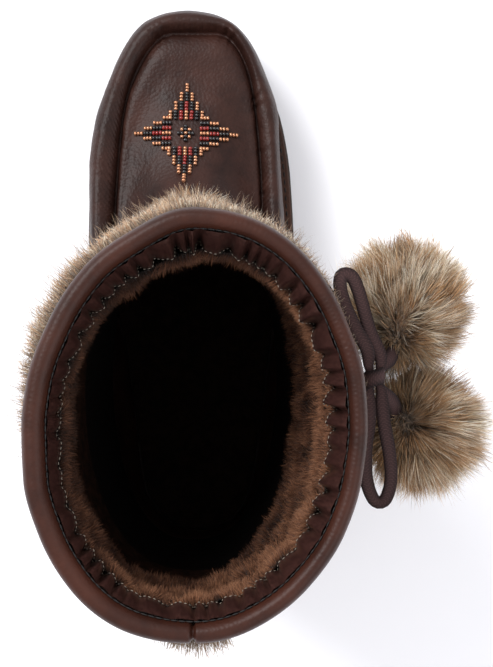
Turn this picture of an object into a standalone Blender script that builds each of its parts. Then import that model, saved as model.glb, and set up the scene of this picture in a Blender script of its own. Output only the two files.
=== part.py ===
"""Mukluk boot for the right foot, standing empty on its sole.

Metres, +Z up, +Y towards the toe, +X towards the outer side of the foot. The origin lies on the
floor, in the middle of the heel's flat spot. Stations run from 0 at the back of the sole to 1 at the
toe tip, and the tables hold lengths as shares of the sizes named here.
"""

import math

import bmesh
import bpy
import numpy as np
from mathutils import Vector
from mathutils.bvhtree import BVHTree

# Driving dimensions, in metres
SOLE_LENGTH = 0.280
BALL_WIDTH = 0.110
HEEL_REST = 0.038  # from the back of the sole to the origin
HEEL_STACK = 0.022  # sole under the heel, floor to seat
FOREFOOT_STACK = 0.013  # sole under the ball
TOE_SPRING = 0.010
ARCH_RISE = 0.0075
LUG_DEPTH = 0.0034
LUG_CHANNEL = 0.0042
LUG_PITCH = 0.0150
LUG_SPAN = 0.62  # half the width that a channel cuts, as a share of the ball width
LUG_BOW = 0.55  # how far a channel bows towards the toe, as a share of the pitch
REST_CLEAR = 0.006  # plain rubber kept between the origin and the nearest channel
TREAD_BEVEL = 0.0022
SIDE_RIB = 0.0007
SIDE_STEP = 0.0012
WELT_WIDTH = 0.0053
WELT_THICKNESS = 0.0024
WELT_SETBACK = 0.0008
WELT_GROOVE = 0.0010  # upright edge of the upper, above the welt
INSOLE_THICKNESS = 0.004
INSOLE_ROUND = 0.2  # rounding of its upper edge, as a share of its thickness
LEATHER = 0.0020
VAMP_HEIGHT = 0.046  # floor to the crest of the roll at the toe
GROOVE_DEPTH = 0.0062
HEEL_SWELL = 0.0030
TOE_BULGE_SETBACK = 0.0004  # side of the foot, in from the sole's edge at the toe
SIDE_BULGE_SETBACK = 0.0054  # and along the ball
HEM_WIDTH = 0.090
HEM_HEIGHT = 0.085  # floor to the seam at the instep
HEM_WALL = 0.0030
COLLAR_WIDTH = 0.1360
COLLAR_LENGTH = 0.1706
COLLAR_OFFSET = 0.0094  # to the outer side
COLLAR_STATION = 0.2715
COLLAR_HEIGHT = 0.2565
BINDING_WIDTH = 0.0092
BINDING_HEIGHT = 0.0135
BINDING_SQUARENESS = 0.75
BINDING_COLUMNS = 8
SEAM_PINCH = 0.14  # how much thinner the binding is at its butt seam
FACING_WIDTH = 0.0056
FACING_DROP = 0.019
FACING_THICKNESS = 0.0012
FACING_RUFFLE = 0.0016
FACING_FOLDS = 24
LOCK_DEPTH = 0.0060
SHAFT_SETBACK = 0.0045  # hide of the shaft, in from the collar's outer edge
LACE_WIDTH = 0.0049
LACE_THICKNESS = 0.0016
LACE_DROP = 0.0515  # from the collar's top down to the lace
LACE_HEIGHT = COLLAR_HEIGHT - LACE_DROP
LACE_BED = 0.0035  # pressed fur under the lace
LACE_ENTRY = 0.0020  # between a lace end and the pompom that it enters
LACE_CLEAR = 0.0006
KNOT_STATION = 0.333
KNOT_DEPTH = 0.0092
KNOT_LENGTH = 0.0100
KNOT_HEIGHT = 0.0092
KNOT_SQUARENESS = 0.72
UPPER_LOOP_LENGTH = 0.046
LOWER_LOOP_LENGTH = 0.050
POMPOM_UPPER = 0.0295  # radii of the pompoms
POMPOM_LOWER = 0.0268
STAR_STATION = 0.764
STAR_OFFSET = -0.0010
STAR_LEAN = 1.3  # degrees, clockwise from above
BEAD_ROW = 0.0027  # between two lines of beads
BEAD_STEP = 0.00485  # length of one colour
BEAD_CORE = 0.0071
ARM_ROWS = 4
BEAD_RELIEF = 0.0012

# Clearances
CLEAR = 0.0003
SEAM_CLEAR = 0.0008

# Columns round each loop
SOLE_STATIONS = 52
FOOT_STATIONS = 29
INSOLE_STATIONS = 26
SHAFT_COLUMNS = 52
COLLAR_COLUMNS = 52
LOOP_RINGS = 20
END_RINGS = 9

# Outline of the sole: centre and half width are shares of half the ball width
OUTLINE = (
    # station, centre, half width
    (0.000, 0.100, 0.000),
    (0.030, 0.090, 0.420),
    (0.100, 0.085, 0.650),
    (0.210, 0.085, 0.738),
    (0.330, 0.088, 0.815),
    (0.450, 0.055, 0.925),
    (0.571, 0.012, 0.992),
    (0.696, 0.002, 0.968),
    (0.793, 0.000, 0.893),
    (0.857, 0.000, 0.785),
    (0.929, 0.000, 0.620),
    (0.975, 0.000, 0.436),
    (1.000, 0.000, 0.000),
)

# Underside of the sole: rise is split between arch and toe spring
TREAD = (
    # station, arch share, spring share
    (0.000, 0.30, 0.00),
    (0.050, 0.00, 0.00),
    (0.262, 0.00, 0.00),
    (0.292, 0.92, 0.00),
    (0.380, 1.00, 0.00),
    (0.500, 0.42, 0.00),
    (0.580, 0.00, 0.00),
    (0.770, 0.00, 0.00),
    (0.860, 0.00, 0.22),
    (1.000, 0.00, 1.00),
)

# Side of the sole, from the tread to the seat
SIDE = (
    # bevel share, step share, rib share, rise from tread to seat
    (1.0, 1.0, 0.0, 0.00),
    (0.0, 1.0, 1.0, 0.10),
    (0.0, 1.0, 1.0, 0.51),
    (0.0, 0.0, 0.0, 0.58),
    (0.0, 0.0, 0.0, 0.96),
    (0.3, 0.0, 0.0, 1.00),
)

# Seat of the upper on the sole: a blend from the forefoot's stack to the heel's
SEAT = (
    # station, heel share, spring share
    (0.00, 1.06, 0.00),
    (0.15, 1.00, 0.00),
    (0.35, 0.78, 0.00),
    (0.55, 0.16, 0.00),
    (0.68, 0.00, 0.00),
    (0.80, 0.00, 0.10),
    (1.00, 0.00, 0.88),
)

# Groove round the apron: shares of half the ball width and of the vamp's height
APRON = (
    # station, centre, half width, crest height
    (0.300, 0.030, 0.720, 1.56),
    (0.420, 0.020, 0.715, 1.46),
    (0.500, 0.010, 0.705, 1.35),
    (0.600, 0.008, 0.692, 1.19),
    (0.700, 0.010, 0.670, 1.08),
    (0.795, 0.012, 0.628, 1.02),
    (0.840, 0.020, 0.590, 1.005),
    (0.875, 0.034, 0.540, 1.00),
    (0.915, 0.048, 0.448, 1.00),
    (0.936, 0.054, 0.370, 1.00),
    (0.948, 0.056, 0.300, 1.00),
    (0.9536, 0.057, 0.215, 1.00),
)

# Section of the rim strip: shares of its width and of its thickness
WELT_SECTION = ((0.0, 0.0), (0.0, 0.8), (0.1, 1.0), (1.0, 1.0), (1.0, 0.0))

# Rings of the bead plate, as shares of the way from its middle to its edge
STAR_UNDERSIDE = (0.33, 0.66, 1.0)
STAR_TOP = (1.0, 0.5)

# Seam between foot and shaft: shares of the seam's span and of its height at the instep
HEM_REAR_STATION = 0.0214
HEM_FRONT_STATION = 0.618
HEM_CENTRE = 0.0040
HEM_SQUARENESS = 0.80
HEM = (
    # span, height
    (0.00, 0.85),
    (0.15, 0.80),
    (0.40, 0.745),
    (0.65, 0.775),
    (0.85, 0.890),
    (1.00, 1.000),
)

# Collar seen from above: shares of half its length and half its width
COLLAR = (
    # along, medial, lateral
    (-1.00, 0.000, 0.000),
    (-0.93, 0.430, 0.350),
    (-0.75, 0.710, 0.650),
    (-0.50, 0.892, 0.865),
    (-0.25, 0.980, 0.965),
    (0.00, 0.992, 1.000),
    (0.20, 0.963, 0.985),
    (0.50, 0.825, 0.870),
    (0.75, 0.605, 0.680),
    (0.92, 0.300, 0.420),
    (1.00, 0.000, 0.000),
)

# Shaft between seam and collar: swell and instep are shares of half the collar's width
SHAFT = (
    # rise, swell, instep
    (0.00, 0.000, 0.000),
    (0.22, 0.032, -0.105),
    (0.45, 0.070, -0.110),
    (0.70, 0.085, -0.125),
    (0.88, 0.052, -0.070),
    (1.00, 0.000, 0.000),
)
INSTEP_FROM = 0.35  # the instep's shape fades in from this share of the way to the front
SHAFT_LINING = (1.0, 0.7, 0.4, 0.2, 0.0)  # rises of the shaft's inner rings

# Rows of locks on the shaft, from the seam to the collar, with the lace's bed between two rows
LOCKS = (
    # rise of tip, rise of root, share of lock depth, share of the lace's bed
    (0.014, 0.150, 1.00, 0.0),
    (0.162, 0.290, 1.00, 0.0),
    (0.302, 0.430, 1.00, 0.0),
    (0.442, 0.570, 1.00, 0.0),
    (0.582, 0.690, 0.95, 1.0),
    (0.838, 0.905, 0.95, 0.0),
    (0.917, 0.990, 1.00, 0.0),
)
BED_TOP = 0.825
SHORT_LOCK = 0.35

# Section through the rolled side: inwards and below are shares of the groove's depth
FOOT_PROFILE = (
    # foot to side, side to groove, inwards, rise to the crest, below the crest
    (0.00, 0.00, 0.00, 0.00, 0.00),
    (0.00, 0.00, 0.00, 0.05, 0.00),
    (0.70, 0.00, 0.00, 0.32, 0.00),
    (1.00, 0.00, 0.00, 0.56, 0.00),
    (1.00, 0.00, 0.23, 0.80, 0.00),
    (1.00, 0.26, 0.00, 1.00, 0.20),
    (1.00, 0.58, 0.00, 1.00, 0.00),
    (1.00, 1.00, -0.35, 1.00, 0.42),
    (1.00, 1.00, 0.00, 1.00, 1.00),
    (1.00, 1.00, 0.42, 1.00, 0.62),
)
# Apron behind the roll, from its lip to the seam
APRON_CLIMB = (
    # run, climb
    (0.24, 0.06),
    (0.50, 0.17),
    (0.80, 0.41),
    (1.00, 1.00),
)
RAY_SPAN = (0.24, 0.70)  # where the upper's columns start, as shares of the seam's span
PLAIN_SPAN = (-0.15, 1.15)  # behind the roll the side eases from foot to seam over this share of the rise
SIDE_STATIONS = (0.74, 0.88)  # between them the side of the foot moves out to the toe's setback

# The roll fades in between these stations; behind them the rings lie at these shares of the rise
ROLL_START = 0.40
ROLL_WHOLE = 0.60
PLAIN_RISE = (0.0, 0.07, 0.27, 0.48, 0.67, 0.79, 0.83, 0.86, 0.885, 0.905, 0.93, 0.955, 0.98, 1.0)
# Rings of the upper's outer face that its inner face does without
PLAIN_INSIDE = (1, 4, 10, 12)

# Course of each loop, as shares of its length from the knot's face, from its middle and down
UPPER_LOOP = (
    # along, across, down
    (0.00, -0.047, -0.02),
    (0.10, -0.052, -0.06),
    (0.19, -0.085, -0.115),
    (0.32, -0.165, -0.13),
    (0.53, -0.260, -0.13),
    (0.71, -0.310, -0.11),
    (0.82, -0.290, -0.07),
    (0.81, -0.205, -0.05),
    (0.69, -0.145, -0.04),
    (0.52, -0.095, -0.03),
    (0.30, -0.030, -0.01),
    (0.12, 0.052, 0.00),
    (0.00, 0.064, 0.00),
)
LOWER_LOOP = (
    # along, across, down
    (0.00, -0.039, 0.00),
    (0.10, -0.036, 0.00),
    (0.26, -0.034, 0.02),
    (0.50, -0.060, 0.08),
    (0.75, -0.050, 0.15),
    (0.93, 0.020, 0.20),
    (0.93, 0.110, 0.20),
    (0.76, 0.158, 0.16),
    (0.53, 0.140, 0.09),
    (0.28, 0.092, 0.03),
    (0.10, 0.070, 0.00),
    (0.00, 0.0625, 0.00),
)

# Locks of the pompoms: how far the ball lies in between them, and where the lace enters
LOCK_DENT = 0.85
ENTRY_DENT = 0.75

# Places of the pompoms from the knot's middle, as shares of each one's radius
UPPER_POMPOM_PLACE = (0.58, 1.14, -1.19)
LOWER_POMPOM_PLACE = (0.97, -0.875, -1.494)

# Course of a lace end from the knot: across and down are shares of the knot's depth and height
LACE_START = 0.258  # along the knot, as a share of its length
LACE_AIM = (1.8, 1.6)  # the pompom's dent looks at this multiple of the start, across and along
LACE_BEND = (0.34, 0.0, -0.08)
LACE_SAG = (0.20, 0.0, 0.0)

# Section of the flat lace: shares of its width and thickness
LACE_SECTION = (
    # width, thickness
    (0.5, -0.22),
    (0.5, 0.22),
    (0.3, 0.5),
    (-0.3, 0.5),
    (-0.5, 0.22),
    (-0.5, -0.22),
    (-0.3, -0.5),
    (0.3, -0.5),
)
KNOT_SEAT = 1.4  # the knot clears the lace's turn over this many of its lengths to each side
# Section of the turn round the shaft: outwards and up, shares of thickness and width
WRAP_SECTION = ((0.0, -0.5), (1.0, -0.38), (1.0, 0.38), (0.0, 0.5))

# Gathered band, down its outer face and up its inner face
FACING = (
    # inwards, drop, ruffle, wall
    (0.00, 0.00, 0.00, 0.0),
    (0.48, 0.42, 0.55, 0.0),
    (1.00, 1.00, 1.00, 0.0),
    (1.00, 1.00, 1.00, 1.0),
    (0.48, 0.42, 0.55, 1.0),
    (0.00, 0.00, 0.00, 1.0),
)
FACING_TOP = 0.38  # below the collar's top, as a share of the binding's height
FACING_WANDER = 0.9  # how unevenly the folds are spread

# Cross channels of the tread, each the station of its middle
HEEL_CHANNELS = (0.055, 0.200)
FOREFOOT_CHANNELS = (0.600, 0.920)

BODY_COLOURS = {
    # name: (red, green, blue, roughness)
    "rubber": (0.035, 0.026, 0.022, 0.80),
    "rand": (0.090, 0.045, 0.030, 0.60),
    "felt": (0.210, 0.140, 0.100, 0.95),
    "leather": (0.045, 0.026, 0.021, 0.50),
    "fur": (0.420, 0.310, 0.200, 0.90),
    "binding": (0.100, 0.042, 0.030, 0.45),
    "satin": (0.050, 0.026, 0.028, 0.40),
    "woven": (0.040, 0.026, 0.028, 0.85),
    "beads": (0.330, 0.120, 0.070, 0.35),
}


# Curves and loops


def smooth(places, values, at):
    """Monotone cubic through (places, values), read at the numbers in at."""
    x, v = np.asarray(places, float), np.asarray(values, float)
    step = np.diff(x)
    slope = np.diff(v) / step
    before, after = slope[:-1], slope[1:]
    tangent = np.concatenate([slope[:1], np.zeros(len(before)), slope[-1:]])
    rising = before * after > 0
    tangent[1:-1][rising] = 2 * before[rising] * after[rising] / (before + after)[rising]
    at = np.clip(at, x[0], x[-1])
    k = np.clip(np.searchsorted(x, at) - 1, 0, len(step) - 1)
    t = (at - x[k]) / step[k]
    lift = v[k] * (1 + 2 * t) * (1 - t) ** 2 + v[k + 1] * t * t * (3 - 2 * t)
    return lift + step[k] * (tangent[k] * t * (1 - t) ** 2 + tangent[k + 1] * t * t * (t - 1))


def column(table, index):
    """One named column of a table."""
    return [row[index] for row in table]


def ease(low, high, at):
    """0 below low, 1 above high, and a soft step between them."""
    t = np.clip((np.asarray(at, float) - low) / (high - low), 0, 1)
    return t * t * (3 - 2 * t)


def lerp(a, b, t):
    """The value a share t of the way from a to b."""
    return a + (b - a) * t


def turn(station):
    """Angle along the sole, which spreads stations evenly round both ends."""
    return np.arccos(np.clip(1 - 2 * np.asarray(station, float), -1, 1))


def station_y(station):
    """Y of a station."""
    return np.asarray(station, float) * SOLE_LENGTH - HEEL_REST


def y_station(y):
    """Station of a Y."""
    return (np.asarray(y, float) + HEEL_REST) / SOLE_LENGTH


def tread_height(y):
    """Underside of the sole."""
    s = y_station(y)
    arch = smooth(column(TREAD, 0), column(TREAD, 1), s)
    spring = smooth(column(TREAD, 0), column(TREAD, 2), s)
    return arch * ARCH_RISE + spring * TOE_SPRING


def seat_height(y):
    """Top of the sole, on which upper, welt and insole sit."""
    s = y_station(y)
    heel = smooth(column(SEAT, 0), column(SEAT, 1), s)
    spring = smooth(column(SEAT, 0), column(SEAT, 2), s)
    return FOREFOOT_STACK + heel * (HEEL_STACK - FOREFOOT_STACK) + spring * TOE_SPRING


def inset(loop, distance):
    """A closed anticlockwise loop, moved inwards by a distance; distance may differ by point."""
    along = np.roll(loop, -1, 0)[:, :2] - np.roll(loop, 1, 0)[:, :2]
    normal = np.stack([-along[:, 1], along[:, 0]], 1)
    normal /= np.linalg.norm(normal, axis=1)[:, None]
    moved = loop.copy()
    moved[:, :2] += normal * np.broadcast_to(distance, len(loop))[:, None]
    return moved


def outline(stations):
    """The sole's edge, anticlockwise from the back: up the outer side, down the inner side."""
    s = (1 - np.cos(np.linspace(0, math.pi, stations + 1))) / 2
    turns = turn(column(OUTLINE, 0))
    half = smooth(turns, column(OUTLINE, 2), turn(s)) * BALL_WIDTH / 2
    centre = smooth(turns, column(OUTLINE, 1), turn(s)) * BALL_WIDTH / 2
    outer = np.stack([centre + half, station_y(s)], 1)
    inner = np.stack([centre - half, station_y(s)], 1)
    return np.concatenate([outer, inner[-2:0:-1]])


def apron_loop(samples=40):
    """The groove round the apron, open to the back, with the height of the roll's crest."""
    s = APRON[0][0] + (APRON[-1][0] - APRON[0][0]) * np.sin(np.linspace(0, math.pi / 2, samples))
    places = column(APRON, 0)
    centre = smooth(places, column(APRON, 1), s) * BALL_WIDTH / 2
    half = smooth(places, column(APRON, 2), s) * BALL_WIDTH / 2
    crest = smooth(places, column(APRON, 3), s) * VAMP_HEIGHT
    outer = np.stack([centre + half, station_y(s), crest], 1)
    inner = np.stack([centre - half, station_y(s), crest], 1)
    return np.concatenate([outer, inner[::-1]])


def hem_loop(columns):
    """The seam between foot and shaft, anticlockwise from the back, as points in space."""
    angle = np.linspace(0, 2 * math.pi, columns, endpoint=False)
    span = (1 - np.cos(angle)) / 2
    side = np.sign(np.sin(angle)) * np.abs(np.sin(angle)) ** HEM_SQUARENESS
    station = lerp(HEM_REAR_STATION, HEM_FRONT_STATION, span)
    height = smooth(column(HEM, 0), column(HEM, 1), span) * HEM_HEIGHT
    return np.stack([HEM_CENTRE + side * HEM_WIDTH / 2, station_y(station), height], 1)


def collar_loop(columns):
    """The collar's outer edge, anticlockwise from the back, as points in plan."""
    angle = np.linspace(0, 2 * math.pi, columns, endpoint=False)
    along = -np.cos(angle)
    turns = np.arccos(np.clip(-np.array(column(COLLAR, 0)), -1, 1))
    lateral = smooth(turns, column(COLLAR, 2), np.arccos(np.clip(-along, -1, 1)))
    medial = smooth(turns, column(COLLAR, 1), np.arccos(np.clip(-along, -1, 1)))
    across = np.where(np.sin(angle) >= 0, lateral, -medial) * COLLAR_WIDTH / 2
    middle = float(station_y(COLLAR_STATION))
    return np.stack([COLLAR_OFFSET + across, middle + along * COLLAR_LENGTH / 2], 1)


def reach(loop, origins, directions):
    """How far each ray runs in plan before it leaves a closed loop, and the loop's height there."""
    start, end = loop, np.roll(loop, -1, 0)
    edge = end[:, :2] - start[:, :2]
    distances, heights = [], []
    for origin, way in zip(origins, directions):
        gap = start[:, :2] - origin
        cross = way[0] * edge[:, 1] - way[1] * edge[:, 0]
        cross = np.where(np.abs(cross) < 1e-12, 1e-12, cross)
        run = (gap[:, 0] * edge[:, 1] - gap[:, 1] * edge[:, 0]) / cross
        share = (gap[:, 0] * way[1] - gap[:, 1] * way[0]) / cross
        hit = np.where((share >= -1e-9) & (share <= 1 + 1e-9) & (run > 0), run, -1.0)
        best = int(hit.argmax())
        distances.append(hit[best])
        if loop.shape[1] > 2:
            heights.append(lerp(start[best, 2], end[best, 2], share[best]))
    return np.array(distances), np.array(heights)


# Meshes


def finish(name, slot):
    """The material of one sub-part."""
    red, green, blue, rough = BODY_COLOURS[slot]
    material = bpy.data.materials.new(name)
    material.use_nodes = True
    shader = material.node_tree.nodes["Principled BSDF"]
    shader.inputs["Base Color"].default_value = (red, green, blue, 1)
    shader.inputs["Roughness"].default_value = rough
    return material


def add(name, slot, vertices, faces, sharp=40):
    """A named object from a closed mesh."""
    mesh = bpy.data.meshes.new(name)
    mesh.from_pydata([tuple(map(float, v)) for v in vertices], [], faces)
    mesh.validate()
    solid = bpy.data.objects.new(name, mesh)
    bpy.context.scene.collection.objects.link(solid)
    shell = bmesh.new()
    shell.from_mesh(mesh)
    bmesh.ops.recalc_face_normals(shell, faces=shell.faces)
    bmesh.ops.triangulate(shell, faces=[f for f in shell.faces if len(f.verts) > 3])
    shell.to_mesh(mesh)
    shell.free()
    mesh.shade_smooth()
    mesh.set_sharp_from_angle(angle=math.radians(sharp))
    mesh.materials.append(finish(name, slot))
    return solid


def band(rings):
    """Quads between closed rings of the same count, and from the last ring back to the first."""
    count, size = len(rings), len(rings[0])
    faces = []
    for i in range(count):
        for k in range(size):
            n = (k + 1) % size
            j = (i + 1) % count
            faces.append((i * size + k, i * size + n, j * size + n, j * size + k))
    return np.concatenate(rings), faces


def strips(first, size):
    """Faces across a loop of an even count, joined station by station."""
    half = size // 2
    faces = [(first, first + 1, first + size - 1)]
    for k in range(1, half - 1):
        faces.append((first + k, first + k + 1, first + size - k - 1, first + size - k))
    faces.append((first + half - 1, first + half, first + half + 1))
    return faces


def pillar(rings):
    """A closed body from rings that share their stations, with a strip face at each end."""
    size = len(rings[0])
    faces = strips(0, size) + strips((len(rings) - 1) * size, size)
    for i in range(len(rings) - 1):
        for k in range(size):
            n = (k + 1) % size
            a, b = i * size, (i + 1) * size
            faces.append((a + k, a + n, b + n, b + k))
    return np.concatenate(rings), faces


def raised(loop, height):
    """A loop in plan with its heights."""
    return np.column_stack([loop[:, :2], np.broadcast_to(height, len(loop))])


# Sole


def chevron(station):
    """Outline of one cross channel of the tread, bowed towards the toe, and the height of its roof."""
    y = float(station_y(station)) - LUG_CHANNEL / 2
    side = BALL_WIDTH * LUG_SPAN
    bow = LUG_PITCH * LUG_BOW
    back = [(-side, y - bow), (0.0, y), (side, y - bow)]
    front = [(x, near + LUG_CHANNEL) for x, near in reversed(back)]
    return back + front, float(tread_height(y)) + LUG_DEPTH


def tread_cutter():
    """All cross channels of heel and forefoot as one guide object."""
    stations = []
    for low, high in (HEEL_CHANNELS, FOREFOOT_CHANNELS):
        count = max(1, int((high - low) * SOLE_LENGTH / LUG_PITCH))
        stations += list(np.linspace(low, high, count + 1))
    vertices, faces = [], []
    for station in stations:
        if abs(float(station_y(station))) < LUG_CHANNEL + REST_CLEAR:
            continue
        corners, roof = chevron(station)
        first, count = len(vertices), len(corners)
        vertices += [(x, y, -LUG_DEPTH) for x, y in corners]
        vertices += [(x, y, roof) for x, y in corners]
        faces.append([first + k for k in range(count)][::-1])
        faces.append([first + count + k for k in range(count)])
        for k in range(count):
            n = (k + 1) % count
            faces.append([first + k, first + n, first + count + n, first + count + k])
    cutter = add("tread_channels", "rubber", vertices, faces)
    cutter.hide_render = True
    cutter.display_type = "WIRE"
    return cutter


def outsole():
    """Moulded sole: flat spots under heel and ball, arch, toe spring, ribbed band and stepped edge."""
    edge = outline(SOLE_STATIONS)
    ribs = np.where(np.arange(len(edge)) % 2 == 0, 0.0, SIDE_RIB)
    rings = []
    for bevel, step, rib, rise in SIDE:
        loop = inset(edge, bevel * TREAD_BEVEL + step * SIDE_STEP + rib * ribs)
        height = lerp(tread_height(loop[:, 1]), seat_height(loop[:, 1]), rise)
        rings.append(raised(loop, height))
    body = add("outsole", "rubber", *pillar(rings))
    channels = body.modifiers.new("channels", "BOOLEAN")
    channels.operation = "DIFFERENCE"
    channels.object = tread_cutter()
    return body


def foot_inset():
    """Bottom edge of the upper, in from the sole's edge."""
    return WELT_SETBACK + WELT_WIDTH + CLEAR


def insole():
    """Footbed that fills the open underside of the upper."""
    edge = outline(INSOLE_STATIONS)
    loop = inset(edge, foot_inset() + LEATHER + 2 * CLEAR)
    low = seat_height(loop[:, 1]) + CLEAR
    top = inset(loop, INSOLE_THICKNESS * INSOLE_ROUND)
    rings = [
        raised(loop, low),
        raised(loop, low + INSOLE_THICKNESS * (1 - INSOLE_ROUND)),
        raised(top, seat_height(top[:, 1]) + CLEAR + INSOLE_THICKNESS),
    ]
    return add("insole", "felt", *pillar(rings))


# Upper


def foot_rays():
    """Origins and directions of the upper's columns, one through each point of the outline."""
    edge = outline(FOOT_STATIONS)
    back, front = (station_y(lerp(HEM_REAR_STATION, HEM_FRONT_STATION, t)) for t in RAY_SPAN)
    middle = np.full(len(edge), HEM_CENTRE / 2)
    origins = np.stack([middle, np.clip(edge[:, 1], back, front)], 1)
    ways = edge - origins
    ways /= np.linalg.norm(ways, axis=1)[:, None]
    return edge, origins, ways


def side_setback(y):
    """How far the widest part of the foot's side lies in from the sole's edge."""
    toe = ease(*SIDE_STATIONS, y_station(y))
    return lerp(SIDE_BULGE_SETBACK, TOE_BULGE_SETBACK, toe)


def welt():
    """Strip that lies on the sole's edge, round the foot of the upper."""
    edge, origins, ways = foot_rays()
    rings = []
    for distance, lift in WELT_SECTION:
        run, _ = reach(inset(edge, WELT_SETBACK + distance * WELT_WIDTH), origins, ways)
        plan = origins + ways * run[:, None]
        height = seat_height(plan[:, 1]) + CLEAR + lift * WELT_THICKNESS
        rings.append(raised(plan, height))
    return add("welt", "rand", *band(rings))


def upper_rings():
    """Rings of the upper's outer face, from its bottom edge to the seam with the shaft."""
    edge, origins, ways = foot_rays()
    foot, _ = reach(inset(edge, foot_inset()), origins, ways)
    side, _ = reach(inset(edge, side_setback(edge[:, 1])), origins, ways)
    groove, crest = reach(apron_loop(), origins, ways)
    hem, hem_z = reach(hem_loop(4 * SHAFT_COLUMNS), origins, ways)
    seat = seat_height(edge[:, 1]) + CLEAR
    rolled = []
    for out, over, inwards, up, below in FOOT_PROFILE:
        radius = lerp(lerp(foot, side, out), groove, over) - inwards * GROOVE_DEPTH
        rolled.append((radius, lerp(seat, crest, up) - below * GROOVE_DEPTH))
    lip, lip_z = rolled[-1]
    for run, climb in APRON_CLIMB:
        rolled.append((lerp(lip, hem, run), lerp(lip_z, hem_z, climb)))
    shown = ease(ROLL_START, ROLL_WHOLE, y_station(edge[:, 1]))
    rings = []
    for rise, (rolled_r, rolled_z) in zip(PLAIN_RISE, rolled):
        plain_r = lerp(foot, hem, ease(*PLAIN_SPAN, rise)) + HEEL_SWELL * math.sin(math.pi * rise)
        radius = lerp(plain_r, rolled_r, shown)
        height = lerp(lerp(seat, hem_z, rise), rolled_z, shown)
        rings.append(np.column_stack([origins + ways * radius[:, None], height]))
    rings[-1] = np.column_stack([origins + ways * hem[:, None], hem_z])
    for ring, lift in zip(rings, (0.0, WELT_THICKNESS + WELT_GROOVE)):
        ring[:, :2] = origins + ways * foot[:, None]
        ring[:, 2] = seat_height(ring[:, 1]) + CLEAR + lift
    return rings


def thickened(rings, wall):
    """The inner face's rings: each point moved in along the surface's normal by the wall."""
    grid = np.array(rings)
    round_it = np.roll(grid, -1, 1) - np.roll(grid, 1, 1)
    up = np.gradient(grid, axis=0)
    normal = np.cross(round_it, up)
    normal /= np.linalg.norm(normal, axis=2)[:, :, None]
    return grid - normal * wall


def upper():
    """Leather foot as one hollow wall, with the roll and groove round its apron."""
    rings = upper_rings()
    inner = thickened(rings, LEATHER)
    for i in (0, 1):
        inner[i][:, 2] = rings[i][:, 2]
    kept = [ring for i, ring in enumerate(inner) if i not in PLAIN_INSIDE]
    return add("upper", "leather", *band(rings + kept[::-1]))


def star_outline():
    """The star's stepped outline round its middle, one arm after the other."""
    arm = []
    for row in range(ARM_ROWS):
        half = (row + 0.5) * BEAD_ROW
        tip = BEAD_CORE + (ARM_ROWS - row) * BEAD_STEP
        arm += [(half, tip), (half, tip - BEAD_STEP)]
    arm[-1] = (half, half)
    quarter = arm + [(y, x) for x, y in reversed(arm[:-1])]
    points = []
    for _ in range(4):
        points += quarter
        quarter = [(y, -x) for x, y in quarter]
    c, s = math.cos(math.radians(STAR_LEAN)), math.sin(math.radians(STAR_LEAN))
    return [(c * x + s * y, c * y - s * x) for x, y in points]


def bead_star(foot):
    """Stepped four-point star of beadwork on the apron, as a thin plate that follows the leather."""
    leather = bmesh.new()
    leather.from_mesh(foot.data)
    surface = BVHTree.FromBMesh(leather)
    centre_y = float(station_y(STAR_STATION))
    rings = []
    for lift, shares in ((0.0, STAR_UNDERSIDE), (BEAD_RELIEF, STAR_TOP)):
        for share in shares:
            ring = []
            for x, y in star_outline():
                above = Vector((STAR_OFFSET + x * share, centre_y + y * share, COLLAR_HEIGHT))
                top = surface.ray_cast(above, Vector((0, 0, -1)))[0]
                ring.append((top.x, top.y, top.z + SEAM_CLEAR + lift))
            rings.append(ring)
    leather.free()
    size, last = len(rings[0]), len(rings) - 1
    vertices = [v for ring in rings for v in ring]
    vertices += [np.mean(rings[0], axis=0), np.mean(rings[-1], axis=0)]
    faces = []
    for k in range(size):
        n = (k + 1) % size
        for i in range(last):
            faces.append((i * size + k, i * size + n, (i + 1) * size + n, (i + 1) * size + k))
        faces.append((k, n, len(vertices) - 2))
        faces.append((last * size + k, last * size + n, len(vertices) - 1))
    return add("bead_star", "beads", vertices, faces)


# Shaft and collar


def shaft_top():
    """Upper edge of the shaft's hide, under the binding."""
    return COLLAR_HEIGHT - BINDING_HEIGHT - CLEAR


def shaft_ring(rise, outward):
    """A ring of the shaft's hide at a share of its rise, moved outwards by a distance."""
    low, high = hem_loop(SHAFT_COLUMNS), inset(collar_loop(SHAFT_COLUMNS), SHAFT_SETBACK)
    rise = np.broadcast_to(np.asarray(rise, float), SHAFT_COLUMNS)
    plan = lerp(low[:, :2], high, rise[:, None])
    swell = smooth(column(SHAFT, 0), column(SHAFT, 1), rise)
    instep = smooth(column(SHAFT, 0), column(SHAFT, 2), rise)
    angle = np.linspace(0, 2 * math.pi, SHAFT_COLUMNS, endpoint=False)
    front = ease(INSTEP_FROM, 1.0, -np.cos(angle))
    plan = inset(plan, -(swell * COLLAR_WIDTH / 2 + outward))
    plan[:, 1] += instep * front * COLLAR_WIDTH / 2
    return np.column_stack([plan, lerp(low[:, 2] + SEAM_CLEAR, shaft_top(), rise)])


def fur_shaft():
    """Hollow shaft of hide with staggered rows of locks, and a plain band for the lace."""
    even = np.arange(SHAFT_COLUMNS) % 2 == 0
    rings = [shaft_ring(0.0, 0.0)]
    for row, (tip, root, share, bed) in enumerate(LOCKS):
        long_locks = even if row % 2 == 0 else ~even
        depth = np.where(long_locks, LOCK_DEPTH, LOCK_DEPTH * SHORT_LOCK) * share
        rings += [shaft_ring(tip, depth), shaft_ring(root, bed * LACE_BED)]
        if bed:
            rings.append(shaft_ring(BED_TOP, bed * LACE_BED))
    rings.append(shaft_ring(1.0, 0.0))
    inner = [inset(shaft_ring(rise, 0.0), HEM_WALL) for rise in SHAFT_LINING]
    return add("fur_shaft", "fur", *band(rings + inner))


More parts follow.
